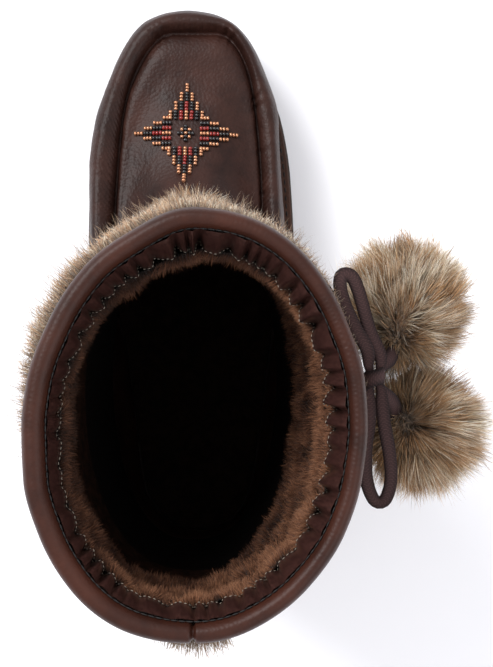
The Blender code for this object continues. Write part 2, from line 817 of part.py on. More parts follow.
def collar_binding():
    """Rolled binding round the collar, with the butt seam at the back."""
    base = collar_loop(COLLAR_COLUMNS)
    pinch = np.zeros(COLLAR_COLUMNS)
    pinch[0] = SEAM_PINCH
    half, tall = BINDING_WIDTH / 2 * (1 - pinch), BINDING_HEIGHT / 2 * (1 - pinch)
    rings = []
    for k in range(BINDING_COLUMNS):
        angle = -2 * math.pi * (k + 0.5) / BINDING_COLUMNS
        across = math.copysign(abs(math.cos(angle)) ** BINDING_SQUARENESS, math.cos(angle))
        up = math.copysign(abs(math.sin(angle)) ** BINDING_SQUARENESS, math.sin(angle))
        loop = inset(base, BINDING_WIDTH / 2 - half * across)
        rings.append(raised(loop, COLLAR_HEIGHT - BINDING_HEIGHT / 2 + tall * up))
    return add("collar_binding", "binding", *band(rings), sharp=60)


def collar_facing():
    """Gathered band that hangs inside the binding, ruffled towards its lower edge."""
    count = FACING_FOLDS * 3
    base = collar_loop(count)
    round_it = 2 * math.pi * np.arange(count) / count
    fold = FACING_FOLDS * round_it
    wave = np.sin(fold + FACING_WANDER * np.sin(3 * round_it))
    top = COLLAR_HEIGHT - BINDING_HEIGHT * FACING_TOP
    rings = []
    for inwards, drop, ruffle, wall in FACING:
        distance = BINDING_WIDTH + 2 * CLEAR + inwards * FACING_WIDTH + wall * FACING_THICKNESS
        loop = inset(base, distance + ruffle * FACING_RUFFLE * wave)
        lift = ruffle * FACING_RUFFLE / 2 * np.cos(fold)
        rings.append(raised(loop, top - drop * FACING_DROP + lift))
    return add("collar_facing", "satin", *band(rings), sharp=60)


# Lace, bow and pompoms


def lace_ring(outward, height):
    """A level loop round the shaft, a distance outside the fur pressed under the lace."""
    low = hem_loop(SHAFT_COLUMNS)[:, 2] + SEAM_CLEAR
    ring = shaft_ring((height - low) / (shaft_top() - low), LACE_BED + outward)
    return raised(ring, height)


def lace_wrap():
    """The lace's turn round the shaft, lying flat on the pressed fur."""
    rings = []
    for outward, up in WRAP_SECTION:
        ring = lace_ring(LACE_CLEAR + outward * LACE_THICKNESS, LACE_HEIGHT)
        rings.append(raised(ring, LACE_HEIGHT + up * LACE_WIDTH))
    return add("lace_wrap", "woven", *band(rings), sharp=60)


def knot_middle():
    """Middle of the knot, on the outer side of the shaft."""
    ring = lace_ring(LACE_CLEAR + LACE_THICKNESS, LACE_HEIGHT)
    y = float(station_y(KNOT_STATION))
    near = ring[(ring[:, 0] > COLLAR_OFFSET) & (np.abs(ring[:, 1] - y) < KNOT_SEAT * KNOT_LENGTH)]
    return np.array([near[:, 0].max() + CLEAR + KNOT_DEPTH / 2, y, LACE_HEIGHT])


def knot():
    """The bow's knot: a small rounded block of tightened lace."""
    middle, size = knot_middle(), np.array([KNOT_DEPTH, KNOT_LENGTH, KNOT_HEIGHT])
    ball = bmesh.new()
    bmesh.ops.create_icosphere(ball, subdivisions=2, radius=1.0)
    vertices = []
    for v in ball.verts:
        block = [math.copysign(abs(c) ** KNOT_SQUARENESS, c) for c in v.co]
        vertices.append(middle + np.array(block) * size / 2)
    faces = [tuple(v.index for v in f.verts) for f in ball.faces]
    ball.free()
    return add("lace_knot", "woven", vertices, faces)


def through(points, count):
    """A smooth open curve through points, read at evenly spread places."""
    p = np.asarray(points, float)
    padded = np.concatenate([[2 * p[0] - p[1]], p, [2 * p[-1] - p[-2]]])
    fine = []
    for k in range(len(p) - 1):
        a, b, c, d = padded[k : k + 4]
        for t in np.linspace(0, 1, 16, endpoint=False):
            line = 2 * b + (c - a) * t + (2 * a - 5 * b + 4 * c - d) * t * t
            fine.append((line + (3 * b - a - 3 * c + d) * t**3) / 2)
    fine = np.array(fine + [p[-1]])
    length = np.concatenate([[0], np.cumsum(np.linalg.norm(np.diff(fine, axis=0), axis=1))])
    places = np.linspace(0, length[-1], count)
    return np.stack([np.interp(places, length, fine[:, i]) for i in range(3)], 1)


def flat_lace(name, points, count, face_up):
    """A flat woven lace along a curve. face_up is the direction its broad face looks, start to end."""
    path = through(points, count)
    tangent = np.gradient(path, axis=0)
    tangent /= np.linalg.norm(tangent, axis=1)[:, None]
    first, last = (np.array(way, float) for way in face_up)
    look = np.array([lerp(first, last, t) for t in np.linspace(0, 1, count)])
    look -= tangent * (look * tangent).sum(1)[:, None]
    look /= np.linalg.norm(look, axis=1)[:, None]
    wide = np.cross(tangent, look)
    size = len(LACE_SECTION)
    vertices, faces = [], []
    for p, w, u in zip(path, wide, look):
        vertices += [p + w * a * LACE_WIDTH + u * b * LACE_THICKNESS for a, b in LACE_SECTION]
    for i in range(count - 1):
        for k in range(size):
            n = (k + 1) % size
            faces.append((i * size + k, i * size + n, (i + 1) * size + n, (i + 1) * size + k))
    faces.append(tuple(range(size)))
    faces.append(tuple((count - 1) * size + k for k in range(size)))
    return add(name, "woven", vertices, faces, sharp=60)


def bow_loop(name, rows, length, way):
    """One loop of the bow, from the knot's end and back to it, way +1 to the toe, -1 to the heel."""
    middle = knot_middle()
    start = KNOT_LENGTH / 2 + CLEAR
    points = []
    for along, across, down in rows:
        y = middle[1] + way * (start + along * length)
        points.append((middle[0] + across * length, y, middle[2] - down * length))
    return flat_lace(name, points, LOOP_RINGS, ((0, 0, 1), (0, 0, 1)))


def pompom(name, radius, middle, towards):
    """Fur ball whose locks stand out, with a bare spot on the side that the lace enters."""
    balls = []
    for fine in (2, 3):
        ball = bmesh.new()
        bmesh.ops.create_icosphere(ball, subdivisions=fine, radius=1.0)
        units = [v.co.normalized() for v in ball.verts]
        faces = [tuple(v.index for v in f.verts) for f in ball.faces]
        balls.append((units, faces))
        ball.free()
    tips = {tuple(round(c, 4) for c in unit) for unit in balls[0][0]}
    turned = Vector((0, 0, 1)).rotation_difference(Vector(towards).normalized())
    units, faces = balls[1]
    vertices = []
    for unit in units:
        share = 1.0 if tuple(round(c, 4) for c in unit) in tips else LOCK_DENT
        if unit.z > 0.999:
            share = ENTRY_DENT
        vertices.append(Vector(middle) + turned @ unit * (radius * share))
    return add(name, "fur", vertices, faces, sharp=20)


def lace_end(name, side, pompom_middle, radius):
    """A free end of the lace, from the knot's outer face down into its pompom."""
    middle, size = knot_middle(), np.array([KNOT_DEPTH, KNOT_LENGTH, KNOT_HEIGHT])
    across, along = KNOT_DEPTH / 2 + CLEAR, side * KNOT_LENGTH * LACE_START
    start = middle + [across, along, 0.0]
    aim = middle + [LACE_AIM[0] * across, LACE_AIM[1] * along, 0.0] - pompom_middle
    aim /= np.linalg.norm(aim)
    stop = pompom_middle + aim * (radius * ENTRY_DENT + LACE_ENTRY)
    bend = start + size * LACE_BEND
    points = [start, bend, lerp(bend, stop, 0.5) + size * LACE_SAG, stop]
    flat_lace(name, points, END_RINGS, ((0.0, 0.0, 1.0), (0.8, 0.0, 0.8)))
    return aim


def clear_scene():
    """Removes what the scene holds."""
    for thing in list(bpy.data.objects):
        bpy.data.objects.remove(thing)


def main():
    """Builds the boot from the floor up."""
    clear_scene()
    outsole()
    welt()
    insole()
    foot = upper()
    bead_star(foot)
    fur_shaft()
    collar_binding()
    collar_facing()
    lace_wrap()
    knot()
    bow_loop("bow_loop_upper", UPPER_LOOP, UPPER_LOOP_LENGTH, 1)
    bow_loop("bow_loop_lower", LOWER_LOOP, LOWER_LOOP_LENGTH, -1)
    for name, side, radius, place in (
        ("upper", 1, POMPOM_UPPER, UPPER_POMPOM_PLACE),
        ("lower", -1, POMPOM_LOWER, LOWER_POMPOM_PLACE),
    ):
        centre = knot_middle() + np.array(place) * radius
        aim = lace_end("lace_end_" + name, side, centre, radius)
        pompom("pompom_" + name, radius, centre, aim)


main()
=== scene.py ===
"""Looks of the mukluk boot for the right foot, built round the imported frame.

Metres, +Z up, +Y towards the toe, +X towards the outer side of the foot. The origin lies on the floor, in
the middle of the heel's flat spot. Each sub-assembly is a class that holds its sizes as fields, and each
finish is a small class named for its real material.
"""

import logging
import math
from dataclasses import dataclass, replace
from enum import Enum

import bpy
import numpy as np
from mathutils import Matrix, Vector
from mathutils.bvhtree import BVHTree


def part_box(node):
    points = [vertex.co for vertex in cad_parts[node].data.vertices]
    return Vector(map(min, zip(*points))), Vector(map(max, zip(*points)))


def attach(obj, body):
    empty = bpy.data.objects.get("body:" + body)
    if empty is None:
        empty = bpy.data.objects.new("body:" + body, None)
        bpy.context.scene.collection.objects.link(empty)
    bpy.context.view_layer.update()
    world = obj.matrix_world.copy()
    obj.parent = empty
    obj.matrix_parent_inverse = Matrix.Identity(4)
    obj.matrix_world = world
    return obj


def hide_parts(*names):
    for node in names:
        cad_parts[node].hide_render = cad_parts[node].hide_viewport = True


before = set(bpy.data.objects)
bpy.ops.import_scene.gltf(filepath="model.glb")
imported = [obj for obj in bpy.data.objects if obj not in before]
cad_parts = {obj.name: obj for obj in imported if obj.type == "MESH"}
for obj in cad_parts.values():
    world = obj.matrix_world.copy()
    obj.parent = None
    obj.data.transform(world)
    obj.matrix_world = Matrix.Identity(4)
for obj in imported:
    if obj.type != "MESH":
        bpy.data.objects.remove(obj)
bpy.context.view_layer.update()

LOG = logging.getLogger("mukluk")
BODY = "root"
MM = 0.001
TURN = 2 * math.pi
# Sine waves that soft noise adds up
WAVES = 14

Array = np.ndarray
Node = bpy.types.Node
NodeTree = bpy.types.NodeTree
Material = bpy.types.Material
Thing = bpy.types.Object

# Half width of the sole and its middle, as shares of half the ball width
OUTLINE = (
    # station, centre, half width
    (0.000, 0.100, 0.000),
    (0.030, 0.090, 0.420),
    (0.100, 0.085, 0.650),
    (0.210, 0.085, 0.738),
    (0.330, 0.088, 0.815),
    (0.450, 0.055, 0.925),
    (0.571, 0.012, 0.992),
    (0.696, 0.002, 0.968),
    (0.793, 0.000, 0.893),
    (0.857, 0.000, 0.785),
    (0.929, 0.000, 0.620),
    (0.975, 0.000, 0.436),
    (1.000, 0.000, 0.000),
)
# Seat of the upper on the sole
SEAT = (
    # station, heel share, spring share
    (0.00, 1.06, 0.00),
    (0.15, 1.00, 0.00),
    (0.35, 0.78, 0.00),
    (0.55, 0.16, 0.00),
    (0.68, 0.00, 0.00),
    (0.80, 0.00, 0.10),
    (1.00, 0.00, 0.88),
)
# Groove round the apron: shares of half the ball width and of the vamp's height
APRON = (
    # station, centre, half width, crest height
    (0.300, 0.030, 0.720, 1.56),
    (0.420, 0.020, 0.715, 1.46),
    (0.500, 0.010, 0.705, 1.35),
    (0.600, 0.008, 0.692, 1.19),
    (0.700, 0.010, 0.670, 1.08),
    (0.795, 0.012, 0.628, 1.02),
    (0.840, 0.020, 0.590, 1.005),
    (0.875, 0.034, 0.540, 1.00),
    (0.915, 0.048, 0.448, 1.00),
    (0.936, 0.054, 0.370, 1.00),
    (0.948, 0.056, 0.300, 1.00),
    (0.9536, 0.057, 0.215, 1.00),
)
# Seam between foot and shaft: shares of its span and of its height at the instep
HEM = (
    # span, height
    (0.00, 0.85),
    (0.15, 0.80),
    (0.40, 0.745),
    (0.65, 0.775),
    (0.85, 0.890),
    (1.00, 1.000),
)
# Collar from above: shares of half its length and half its width
COLLAR = (
    # along, medial, lateral
    (-1.00, 0.000, 0.000),
    (-0.93, 0.430, 0.350),
    (-0.75, 0.710, 0.650),
    (-0.50, 0.892, 0.865),
    (-0.25, 0.980, 0.965),
    (0.00, 0.992, 1.000),
    (0.20, 0.963, 0.985),
    (0.50, 0.825, 0.870),
    (0.75, 0.605, 0.680),
    (0.92, 0.300, 0.420),
    (1.00, 0.000, 0.000),
)
# Shaft between seam and collar: shares of half the collar's width
SHAFT = (
    # rise, swell, instep
    (0.00, 0.000, 0.000),
    (0.22, 0.032, -0.105),
    (0.45, 0.070, -0.110),
    (0.70, 0.085, -0.125),
    (0.88, 0.052, -0.070),
    (1.00, 0.000, 0.000),
)
# Section through the rolled side: inwards and below are shares of the groove's depth
FOOT_PROFILE = (
    # foot to side, side to groove, inwards, rise to the crest, below the crest
    (0.00, 0.00, 0.00, 0.00, 0.00),
    (0.00, 0.00, 0.00, 0.05, 0.00),
    (0.70, 0.00, 0.00, 0.32, 0.00),
    (1.00, 0.00, 0.00, 0.56, 0.00),
    (1.00, 0.00, 0.23, 0.80, 0.00),
    (1.00, 0.26, 0.00, 1.00, 0.20),
    (1.00, 0.58, 0.00, 1.00, 0.00),
    (1.00, 1.00, -0.35, 1.00, 0.42),
    (1.00, 1.00, 0.00, 1.00, 1.00),
    (1.00, 1.00, 0.42, 1.00, 0.62),
)
APRON_CLIMB = (
    # run, climb
    (0.24, 0.06),
    (0.50, 0.17),
    (0.80, 0.41),
    (1.00, 1.00),
)
# Rings of the foot behind the roll, at these shares of the rise
PLAIN_RISE = (0.0, 0.07, 0.27, 0.48, 0.67, 0.79, 0.83, 0.86, 0.885, 0.905, 0.93, 0.955, 0.98, 1.0)
# Course of the bow's loops, as shares of their length from the knot's face, from its middle and down
UPPER_LOOP = (
    # along, across, down
    (0.00, -0.047, -0.02),
    (0.10, -0.052, -0.06),
    (0.19, -0.085, -0.115),
    (0.32, -0.165, -0.13),
    (0.53, -0.260, -0.13),
    (0.71, -0.310, -0.11),
    (0.82, -0.290, -0.07),
    (0.81, -0.205, -0.05),
    (0.69, -0.145, -0.04),
    (0.52, -0.095, -0.03),
    (0.30, -0.030, -0.01),
    (0.12, 0.052, 0.00),
    (0.00, 0.064, 0.00),
)
LOWER_LOOP = (
    # along, across, down
    (0.00, -0.039, 0.00),
    (0.10, -0.036, 0.00),
    (0.26, -0.034, 0.02),
    (0.50, -0.060, 0.08),
    (0.75, -0.050, 0.15),
    (0.93, 0.020, 0.20),
    (0.93, 0.110, 0.20),
    (0.76, 0.158, 0.16),
    (0.53, 0.140, 0.09),
    (0.28, 0.092, 0.03),
    (0.10, 0.070, 0.00),
    (0.00, 0.0625, 0.00),
)
# Section of the flat lace: shares of its width and thickness
LACE_SECTION = (
    # width, thickness
    (0.5, -0.22),
    (0.5, 0.22),
    (0.3, 0.5),
    (0.0, 0.42),
    (-0.3, 0.5),
    (-0.5, 0.22),
    (-0.5, -0.22),
    (-0.3, -0.5),
    (0.0, -0.42),
    (0.3, -0.5),
)
# Section of the knot's band: shares of its width and thickness
KNOT_BAND = (
    # width, thickness
    (-0.5, -0.5),
    (-0.58, 0.0),
    (-0.46, 0.5),
    (-0.25, 0.75),
    (0.0, 0.8),
    (0.25, 0.75),
    (0.46, 0.5),
    (0.58, 0.0),
    (0.5, -0.5),
    (0.0, -0.7),
)
# How far the fur stands out from the shaft beyond its usual depth, once round from the back
FRINGE = (
    # turn, millimetres
    (0.00, 8.0),
    (0.025, 5.0),
    (0.05, -1.5),
    (0.30, -1.5),
    (0.38, 0.8),
    (0.44, 2.6),
    (0.50, 3.5),
    (0.56, 3.6),
    (0.64, 4.2),
    (0.69, 4.6),
    (0.73, 3.4),
    (0.77, 1.0),
    (0.80, -1.2),
    (0.95, -1.5),
    (0.98, 5.0),
    (1.00, 8.0),
)
# Place of the bare hide among the fur's colours: kind of hair and share of the way to its tip
HIDE_TONE = (0.7, 0.12)
# Width of the binding's roll, once round from the back: drawn tight behind the bow
ROLL = (
    # turn, share of the binding's width
    (0.00, 0.98),
    (0.25, 0.80),
    (0.50, 0.90),
    (0.75, 1.05),
    (1.00, 0.98),
)
# Depth of the satin band's folds, once round from the back
FULLNESS = (
    # turn, share
    (0.00, 0.80),
    (0.05, 0.75),
    (0.12, 0.85),
    (0.20, 0.95),
    (0.30, 1.10),
    (0.50, 1.10),
    (0.58, 1.00),
    (0.68, 0.90),
    (0.80, 0.85),
    (0.92, 0.90),
    (1.00, 0.80),
)
# How far the satin band leans inwards, once round from the back
LEAN = (
    # turn, share
    (0.00, 0.50),
    (0.12, 0.72),
    (0.25, 1.05),
    (0.40, 1.15),
    (0.50, 1.20),
    (0.60, 0.75),
    (0.75, 0.42),
    (0.88, 0.42),
    (1.00, 0.50),
)
# Where the shearling ends, once round. Below it the near-black fleece paints the shade deep in the shaft, so
# the edge lies lower on the outer side, where the light reaches further down
CUFF_EDGE = (
    # turn, share of the shaft's rise
    (0.00, 0.60),
    (0.06, 0.52),
    (0.14, 0.40),
    (0.30, 0.36),
    (0.42, 0.44),
    (0.52, 0.58),
    (0.62, 0.62),
    (0.75, 0.68),
    (0.88, 0.66),
    (1.00, 0.60),
)
# Colour of the shearling's pile, once round: painted shade, darker round the front and the inner side, whose
# insides turn away from the window light, and paler at the back and on the outer side
PILE_TONE = (
    # turn, tone from pale to grey
    (0.00, 0.16),
    (0.08, 0.10),
    (0.20, 0.12),
    (0.35, 0.28),
    (0.45, 0.60),
    (0.55, 0.80),
    (0.70, 0.80),
    (0.85, 0.60),
    (0.95, 0.28),
    (1.00, 0.16),
)
# Cosine and sine of the four quarter turns
QUARTERS = ((1, 0), (0, 1), (-1, 0), (0, -1))
# Wrinkles of the foot's leather: middle, course and size
CREASES = (
    # x, y, degrees from +X, length, width, depth, in millimetres but for the degrees
    (-36.0, 200.0, 152.0, 12.0, 1.5, 0.55),
    (-35.0, 196.0, 158.0, 9.0, 1.2, 0.40),
    (-43.0, 159.0, 176.0, 12.0, 1.4, 0.55),
    (-43.2, 154.8, 184.0, 10.0, 1.3, 0.45),
    (-41.5, 178.0, 166.0, 8.0, 1.2, 0.30),
    (35.0, 195.5, 20.0, 9.0, 1.4, 0.60),
    (36.5, 191.0, 14.0, 11.0, 1.5, 0.65),
    (40.0, 168.0, 4.0, 9.0, 1.3, 0.35),
    (41.0, 146.0, 2.0, 9.0, 1.3, 0.30),
    (19.5, 229.5, 62.0, 8.0, 1.3, 0.55),
    (23.0, 226.0, 46.0, 8.0, 1.2, 0.50),
    (-12.5, 230.0, 112.0, 8.0, 1.3, 0.50),
    (-17.0, 226.5, 130.0, 8.0, 1.2, 0.45),
    (-14.0, 208.0, 38.0, 20.0, 3.2, 0.25),
    (-19.0, 196.0, 44.0, 22.0, 3.4, 0.28),
    (-23.0, 183.0, 50.0, 20.0, 3.2, 0.22),
    (12.0, 206.0, 140.0, 18.0, 3.4, 0.18),
    (-25.0, 156.0, 60.0, 20.0, 3.6, 0.30),
    (27.0, 158.0, 118.0, 20.0, 3.6, 0.26),
    (-33.0, 136.0, 72.0, 18.0, 3.4, 0.35),
    (33.0, 138.0, 108.0, 18.0, 3.4, 0.32),
)


# Numbers and curves


def column(table: tuple, index: int) -> list[float]:
    """One named column of a table."""
    return [row[index] for row in table]


def read_table(table: tuple, index: int, at: Array) -> Array:
    """A column of a table as a curve over its first column."""
    return smooth(column(table, 0), column(table, index), at)


def smooth(places: list, values: list, at: Array) -> Array:
    """Monotone cubic through points.

    Args:
        places: where the values lie, rising.
        values: the values there.
        at: where to read the curve.
    Returns:
        The curve's values.
    """
    x, v = np.asarray(places, float), np.asarray(values, float)
    step = np.diff(x)
    slope = np.diff(v) / step
    before, after = slope[:-1], slope[1:]
    tangent = np.concatenate([slope[:1], np.zeros(len(before)), slope[-1:]])
    rising = before * after > 0
    tangent[1:-1][rising] = 2 * before[rising] * after[rising] / (before + after)[rising]
    at = np.clip(at, x[0], x[-1])
    k = np.clip(np.searchsorted(x, at) - 1, 0, len(step) - 1)
    t = (at - x[k]) / step[k]
    lift = v[k] * (1 + 2 * t) * (1 - t) ** 2 + v[k + 1] * t * t * (3 - 2 * t)
    return lift + step[k] * (tangent[k] * t * (1 - t) ** 2 + tangent[k + 1] * t * t * (t - 1))


def ease(low: float, high: float, at: Array) -> Array:
    """0 below low, 1 above high, and a soft step between them."""
    t = np.clip((np.asarray(at, float) - low) / (high - low), 0, 1)
    return t * t * (3 - 2 * t)


def lerp(a: Array, b: Array, t: Array) -> Array:
    """The value a share t of the way from a to b."""
    return a + (b - a) * t


def unit(vectors: Array) -> Array:
    """Vectors of length 1 along the last axis."""
    return vectors / np.maximum(np.linalg.norm(vectors, axis=-1, keepdims=True), 1e-12)


def inset(loop: Array, distance: Array) -> Array:
    """A closed anticlockwise loop in plan, moved inwards by a distance, which may differ by point.

    Args:
        loop: (points, 2 or 3).
        distance: in metres, one for all points or one for each.
    Returns:
        The moved loop.
    """
    along = np.roll(loop, -1, 0)[:, :2] - np.roll(loop, 1, 0)[:, :2]
    normal = unit(np.stack([-along[:, 1], along[:, 0]], 1))
    moved = loop.copy()
    moved[:, :2] += normal * np.broadcast_to(distance, len(loop))[:, None]
    return moved


def run_along(points: Array, weight: Array = 1.0) -> Array:
    """Length from a line's first point to each of its points, each step times its weight."""
    return np.concatenate([[0], np.cumsum(np.linalg.norm(np.diff(points, axis=0), axis=1) * weight)])


def angles(count: int) -> Array:
    """Angles spread evenly once round."""
    return np.linspace(0, TURN, count, endpoint=False)


def hump(at: Array, middle: float, width: Array) -> Array:
    """A bell curve of height 1."""
    return np.exp(-(((at - middle) / width) ** 2))


def read_line(points: Array, run: Array, places: Array) -> Array:
    """Points of a line at places along its run."""
    return np.stack([np.interp(places, run, axis) for axis in points.T], 1)


def ripple(points: Array, size: float, seed: int) -> Array:
    """Soft noise from -1 to 1.

    Args:
        points: (..., 3) places in metres.
        size: the width of its humps in metres.
        seed: picks the waves.
    Returns:
        One number for each place.
    """
    rng = np.random.default_rng(seed)
    ways = unit(rng.normal(size=(WAVES, 3))) * (math.pi / size * rng.uniform(0.6, 1.5, (WAVES, 1)))
    phase = rng.uniform(0, TURN, WAVES)
    return np.sin(points @ ways.T + phase).sum(-1) / math.sqrt(WAVES) * 0.7


def ripple_along(run: Array, size: float, seed: int) -> Array:
    """Soft noise along a line's run."""
    return ripple(np.column_stack([run, 0 * run, 0 * run]), size, seed)


def through(points: Array, count: int) -> Array:
    """A smooth open curve through points, read at evenly spread places.

    Args:
        points: (n, 3).
        count: how many places.
    Returns:
        (count, 3).
    """
    p = np.asarray(points, float)
    padded = np.concatenate([[2 * p[0] - p[1]], p, [2 * p[-1] - p[-2]]])
    fine = []
    for k in range(len(p) - 1):
        a, b, c, d = padded[k : k + 4]
        for t in np.linspace(0, 1, 16, endpoint=False):
            line = 2 * b + (c - a) * t + (2 * a - 5 * b + 4 * c - d) * t * t
            fine.append((line + (3 * b - a - 3 * c + d) * t**3) / 2)
    fine = np.array(fine + [p[-1]])
    run = run_along(fine)
    return read_line(fine, run, np.linspace(0, run[-1], count))


def rows_between(rings: Array, steps: int) -> Array:
    """Smooth rows through rings of the same count.

    Args:
        rings: (rings, columns, 3).
        steps: rows for each gap between two rings.
    Returns:
        (rows, columns, 3), each column a cubic through its own points.
    """
    gap = np.diff(rings, axis=0)
    chord = np.maximum(np.linalg.norm(gap, axis=2, keepdims=True), 1e-6)
    slope = gap / chord
    inner = (slope[1:] * chord[:-1] + slope[:-1] * chord[1:]) / (chord[:-1] + chord[1:])
    tangent = np.concatenate([slope[:1], inner, slope[-1:]])
    rows = []
    for k in range(len(gap)):
        for t in np.arange(steps) / steps:
            hold = (1 + 2 * t) * (1 - t) ** 2 * rings[k] + t * t * (3 - 2 * t) * rings[k + 1]
            pull = t * (1 - t) ** 2 * tangent[k] + t * t * (t - 1) * tangent[k + 1]
            rows.append(hold + chord[k] * pull)
    rows.append(rings[-1])
    return np.array(rows)


def normals(grid: Array) -> Array:
    """Outward normals of a grid (rows, columns, 3) that is closed round its columns."""
    round_it = np.roll(grid, -1, 1) - np.roll(grid, 1, 1)
    return unit(np.cross(round_it, np.gradient(grid, axis=0)))


def read_grid(grid: Array, row: Array, turn: Array) -> Array:
    """Reads a grid that is closed round its columns.

    Args:
        grid: (rows, columns, 3).
        row: the place from the first row, 0, to the last, 1.
        turn: the place round it, where 1 is once round.
    Returns:
        The points there.
    """
    rows, columns = grid.shape[:2]
    v = np.clip(row, 0, 1) * (rows - 1)
    i = np.minimum(v.astype(int), rows - 2)
    fv = (v - i)[..., None]
    u = (turn % 1.0) * columns
    j = u.astype(int) % columns
    fu = (u - np.floor(u))[..., None]
    n = (j + 1) % columns
    return lerp(lerp(grid[i, j], grid[i, n], fu), lerp(grid[i + 1, j], grid[i + 1, n], fu), fv)


# Meshes


def mesh_thing(
    name: str, vertices: Array, quads: Array, triangles: Array = (), uv: Array | None = None
) -> Thing:
    """An object from arrays.

    Args:
        name: the piece's name.
        vertices: (n, 3) in metres.
        quads: (q, 4) vertex numbers.
        triangles: (t, 3) vertex numbers.
        uv: (n, 2) for each vertex, if the finish reads it.
    Returns:
        The object, shaded smooth.
    """
    quads = np.asarray(quads, np.int32).reshape(-1, 4)
    triangles = np.asarray(triangles, np.int32).reshape(-1, 3)
    corners = np.concatenate([quads.ravel(), triangles.ravel()])
    after_quads = 4 * len(quads)
    starts = np.concatenate([np.arange(len(quads)) * 4, after_quads + np.arange(len(triangles)) * 3])
    mesh = bpy.data.meshes.new(name)
    mesh.vertices.add(len(vertices))
    mesh.vertices.foreach_set("co", np.asarray(vertices, np.float32).ravel())
    mesh.loops.add(len(corners))
    mesh.loops.foreach_set("vertex_index", corners)
    mesh.polygons.add(len(starts))
    mesh.polygons.foreach_set("loop_start", starts.astype(np.int32))
    mesh.update(calc_edges=True)
    if uv is not None:
        layer = mesh.uv_layers.new(name="run")
        layer.data.foreach_set("uv", np.asarray(uv, np.float32)[corners].ravel())
    mesh.shade_smooth()
    thing = bpy.data.objects.new(name, mesh)
    bpy.context.scene.collection.objects.link(thing)
    return thing


def grid_faces(rows: int, columns: int, first: int = 0, looped: bool = False) -> Array:
    """Quads of a grid that is closed round its columns.

    Args:
        rows: rows of vertices.
        columns: vertices in a row.
        first: number of the grid's first vertex.
        looped: joins the last row to the first.
    Returns:
        (quads, 4) vertex numbers.
    """
    i, k = np.meshgrid(np.arange(rows if looped else rows - 1), np.arange(columns))
    i, k = i.T.ravel(), k.T.ravel()
    j, n = (i + 1) % rows, (k + 1) % columns
    return first + np.stack([i * columns + k, i * columns + n, j * columns + n, j * columns + k], 1)


def grid_thing(
    name: str, grid: Array, looped: bool = True, flip: bool = False, uv: Array | None = None
) -> Thing:
    """An object from a grid that is closed round its columns.

    Args:
        name: the piece's name.
        grid: (rows, columns, 3) in metres.
        looped: joins the last row to the first.
        flip: turns the faces round.
        uv: two numbers for each vertex, if the finish reads them.
    Returns:
        The object.
    """
    faces = grid_faces(*grid.shape[:2], looped=looped)
    faces = faces[:, ::-1] if flip else faces
    return mesh_thing(name, grid.reshape(-1, 3), faces, uv=None if uv is None else uv.reshape(-1, 2))


def ribbons(name: str, paths: Array, look: Array, width: Array, tone: Array, twist: Array) -> Thing:
    """Hairs as flat ribbons that taper to a point.

    Args:
        name: the piece's name.
        paths: (hairs, points, 3), from root to tip.
        look: (hairs, 3), where the broad side looks before it is twisted.
        width: (hairs,) in metres.
        tone: (hairs,) from 0 to 1, which the fur's finish reads.
        twist: (hairs,) in radians.
    Returns:
        The object; its UV holds the tone and the share of the way to the tip.
    """
    count, points = paths.shape[:2]
    along = unit(np.gradient(paths, axis=1))
    side = unit(np.cross(along, look[:, None]))
    rise = np.cross(side, along)
    side = side * np.cos(twist)[:, None, None] + rise * np.sin(twist)[:, None, None]
    share = np.linspace(0, 1, points)
    half = width[:, None, None] / 2 * (1 - 0.4 * share)[None, :, None]
    pair = np.stack([paths + side * half, paths - side * half], 2)[:, :-1]
    size = 2 * points - 1
    vertices = np.concatenate([pair.reshape(count, size - 1, 3), paths[:, -1:]], 1).reshape(-1, 3)
    run = np.concatenate([np.repeat(share[:-1], 2), [1.0]])
    uv = np.stack([np.repeat(tone, size), np.tile(run, count)], 1)
    base = np.arange(count)[:, None] * size
    quads = [np.zeros((0, 4), int)]
    quads += [base + [2 * k, 2 * k + 1, 2 * k + 3, 2 * k + 2] for k in range(points - 2)]
    triangles = base + [size - 3, size - 2, size - 1]
    return mesh_thing(name, vertices, np.concatenate(quads), triangles, uv)


def tube_parts(path: Array, radius: float, sides: int, first: int) -> tuple[Array, Array]:
    """A thin closed tube along a short path, for a stitch.

    Args:
        path: (points, 3).
        radius: half its width.
        sides: corners of its section.
        first: number of its first vertex.
    Returns:
        Its vertices and its quads; its ends shrink to nearly nothing.
    """
    along = unit(np.gradient(path, axis=0))
    side = unit(np.cross(along, [0.0, 0.0, 1.0]) + 1e-9)
    rise = np.cross(side, along)
    swell = np.sqrt(np.clip(np.sin(np.linspace(0.06, math.pi - 0.06, len(path))), 0, 1))
    angle = angles(sides)
    ring = side[:, None] * np.cos(angle)[None, :, None] + rise[:, None] * np.sin(angle)[None, :, None]
    vertices = (path[:, None] + ring * (radius * swell)[:, None, None]).reshape(-1, 3)
    return vertices, grid_faces(len(path), sides, first)


@dataclass(frozen=True)
class Stitch:
    """Sizes of one stitch; its middle stands above its ends by the arch."""

    pitch: float
    length: float
    radius: float
    arch: float


RIM_STITCH = Stitch(0.0042, 0.0029, 0.00038, 0.0002)
COLLAR_STITCH = Stitch(0.0030, 0.0029, 0.00034, 0.0001)
FACING_STITCH = Stitch(0.0022, 0.0013, 0.00019, 0.0001)


def stitches(name: str, line: Array, stitch: Stitch) -> Thing:
    """A row of stitches along a closed line.

    Args:
        name: the piece's name.
        line: (points, 3), the seam.
        stitch: the sizes.
    Returns:
        The object.
    """
    loop = np.concatenate([line, line[:1]])
    run = run_along(loop)
    count = int(run[-1] / stitch.pitch)
    vertices, quads, total = [], [], 0
    for k in range(count):
        places = (k + 0.5) * run[-1] / count + np.linspace(-0.5, 0.5, 6) * stitch.length
        path = read_line(loop, run, places % run[-1])
        path[:, 2] += stitch.arch * np.sin(np.linspace(0, math.pi, len(path)))
        points, faces = tube_parts(path, stitch.radius, 6, total)
        vertices.append(points)
        quads.append(faces)
        total += len(points)
    return mesh_thing(name, np.concatenate(vertices), np.concatenate(quads))


# Finishes


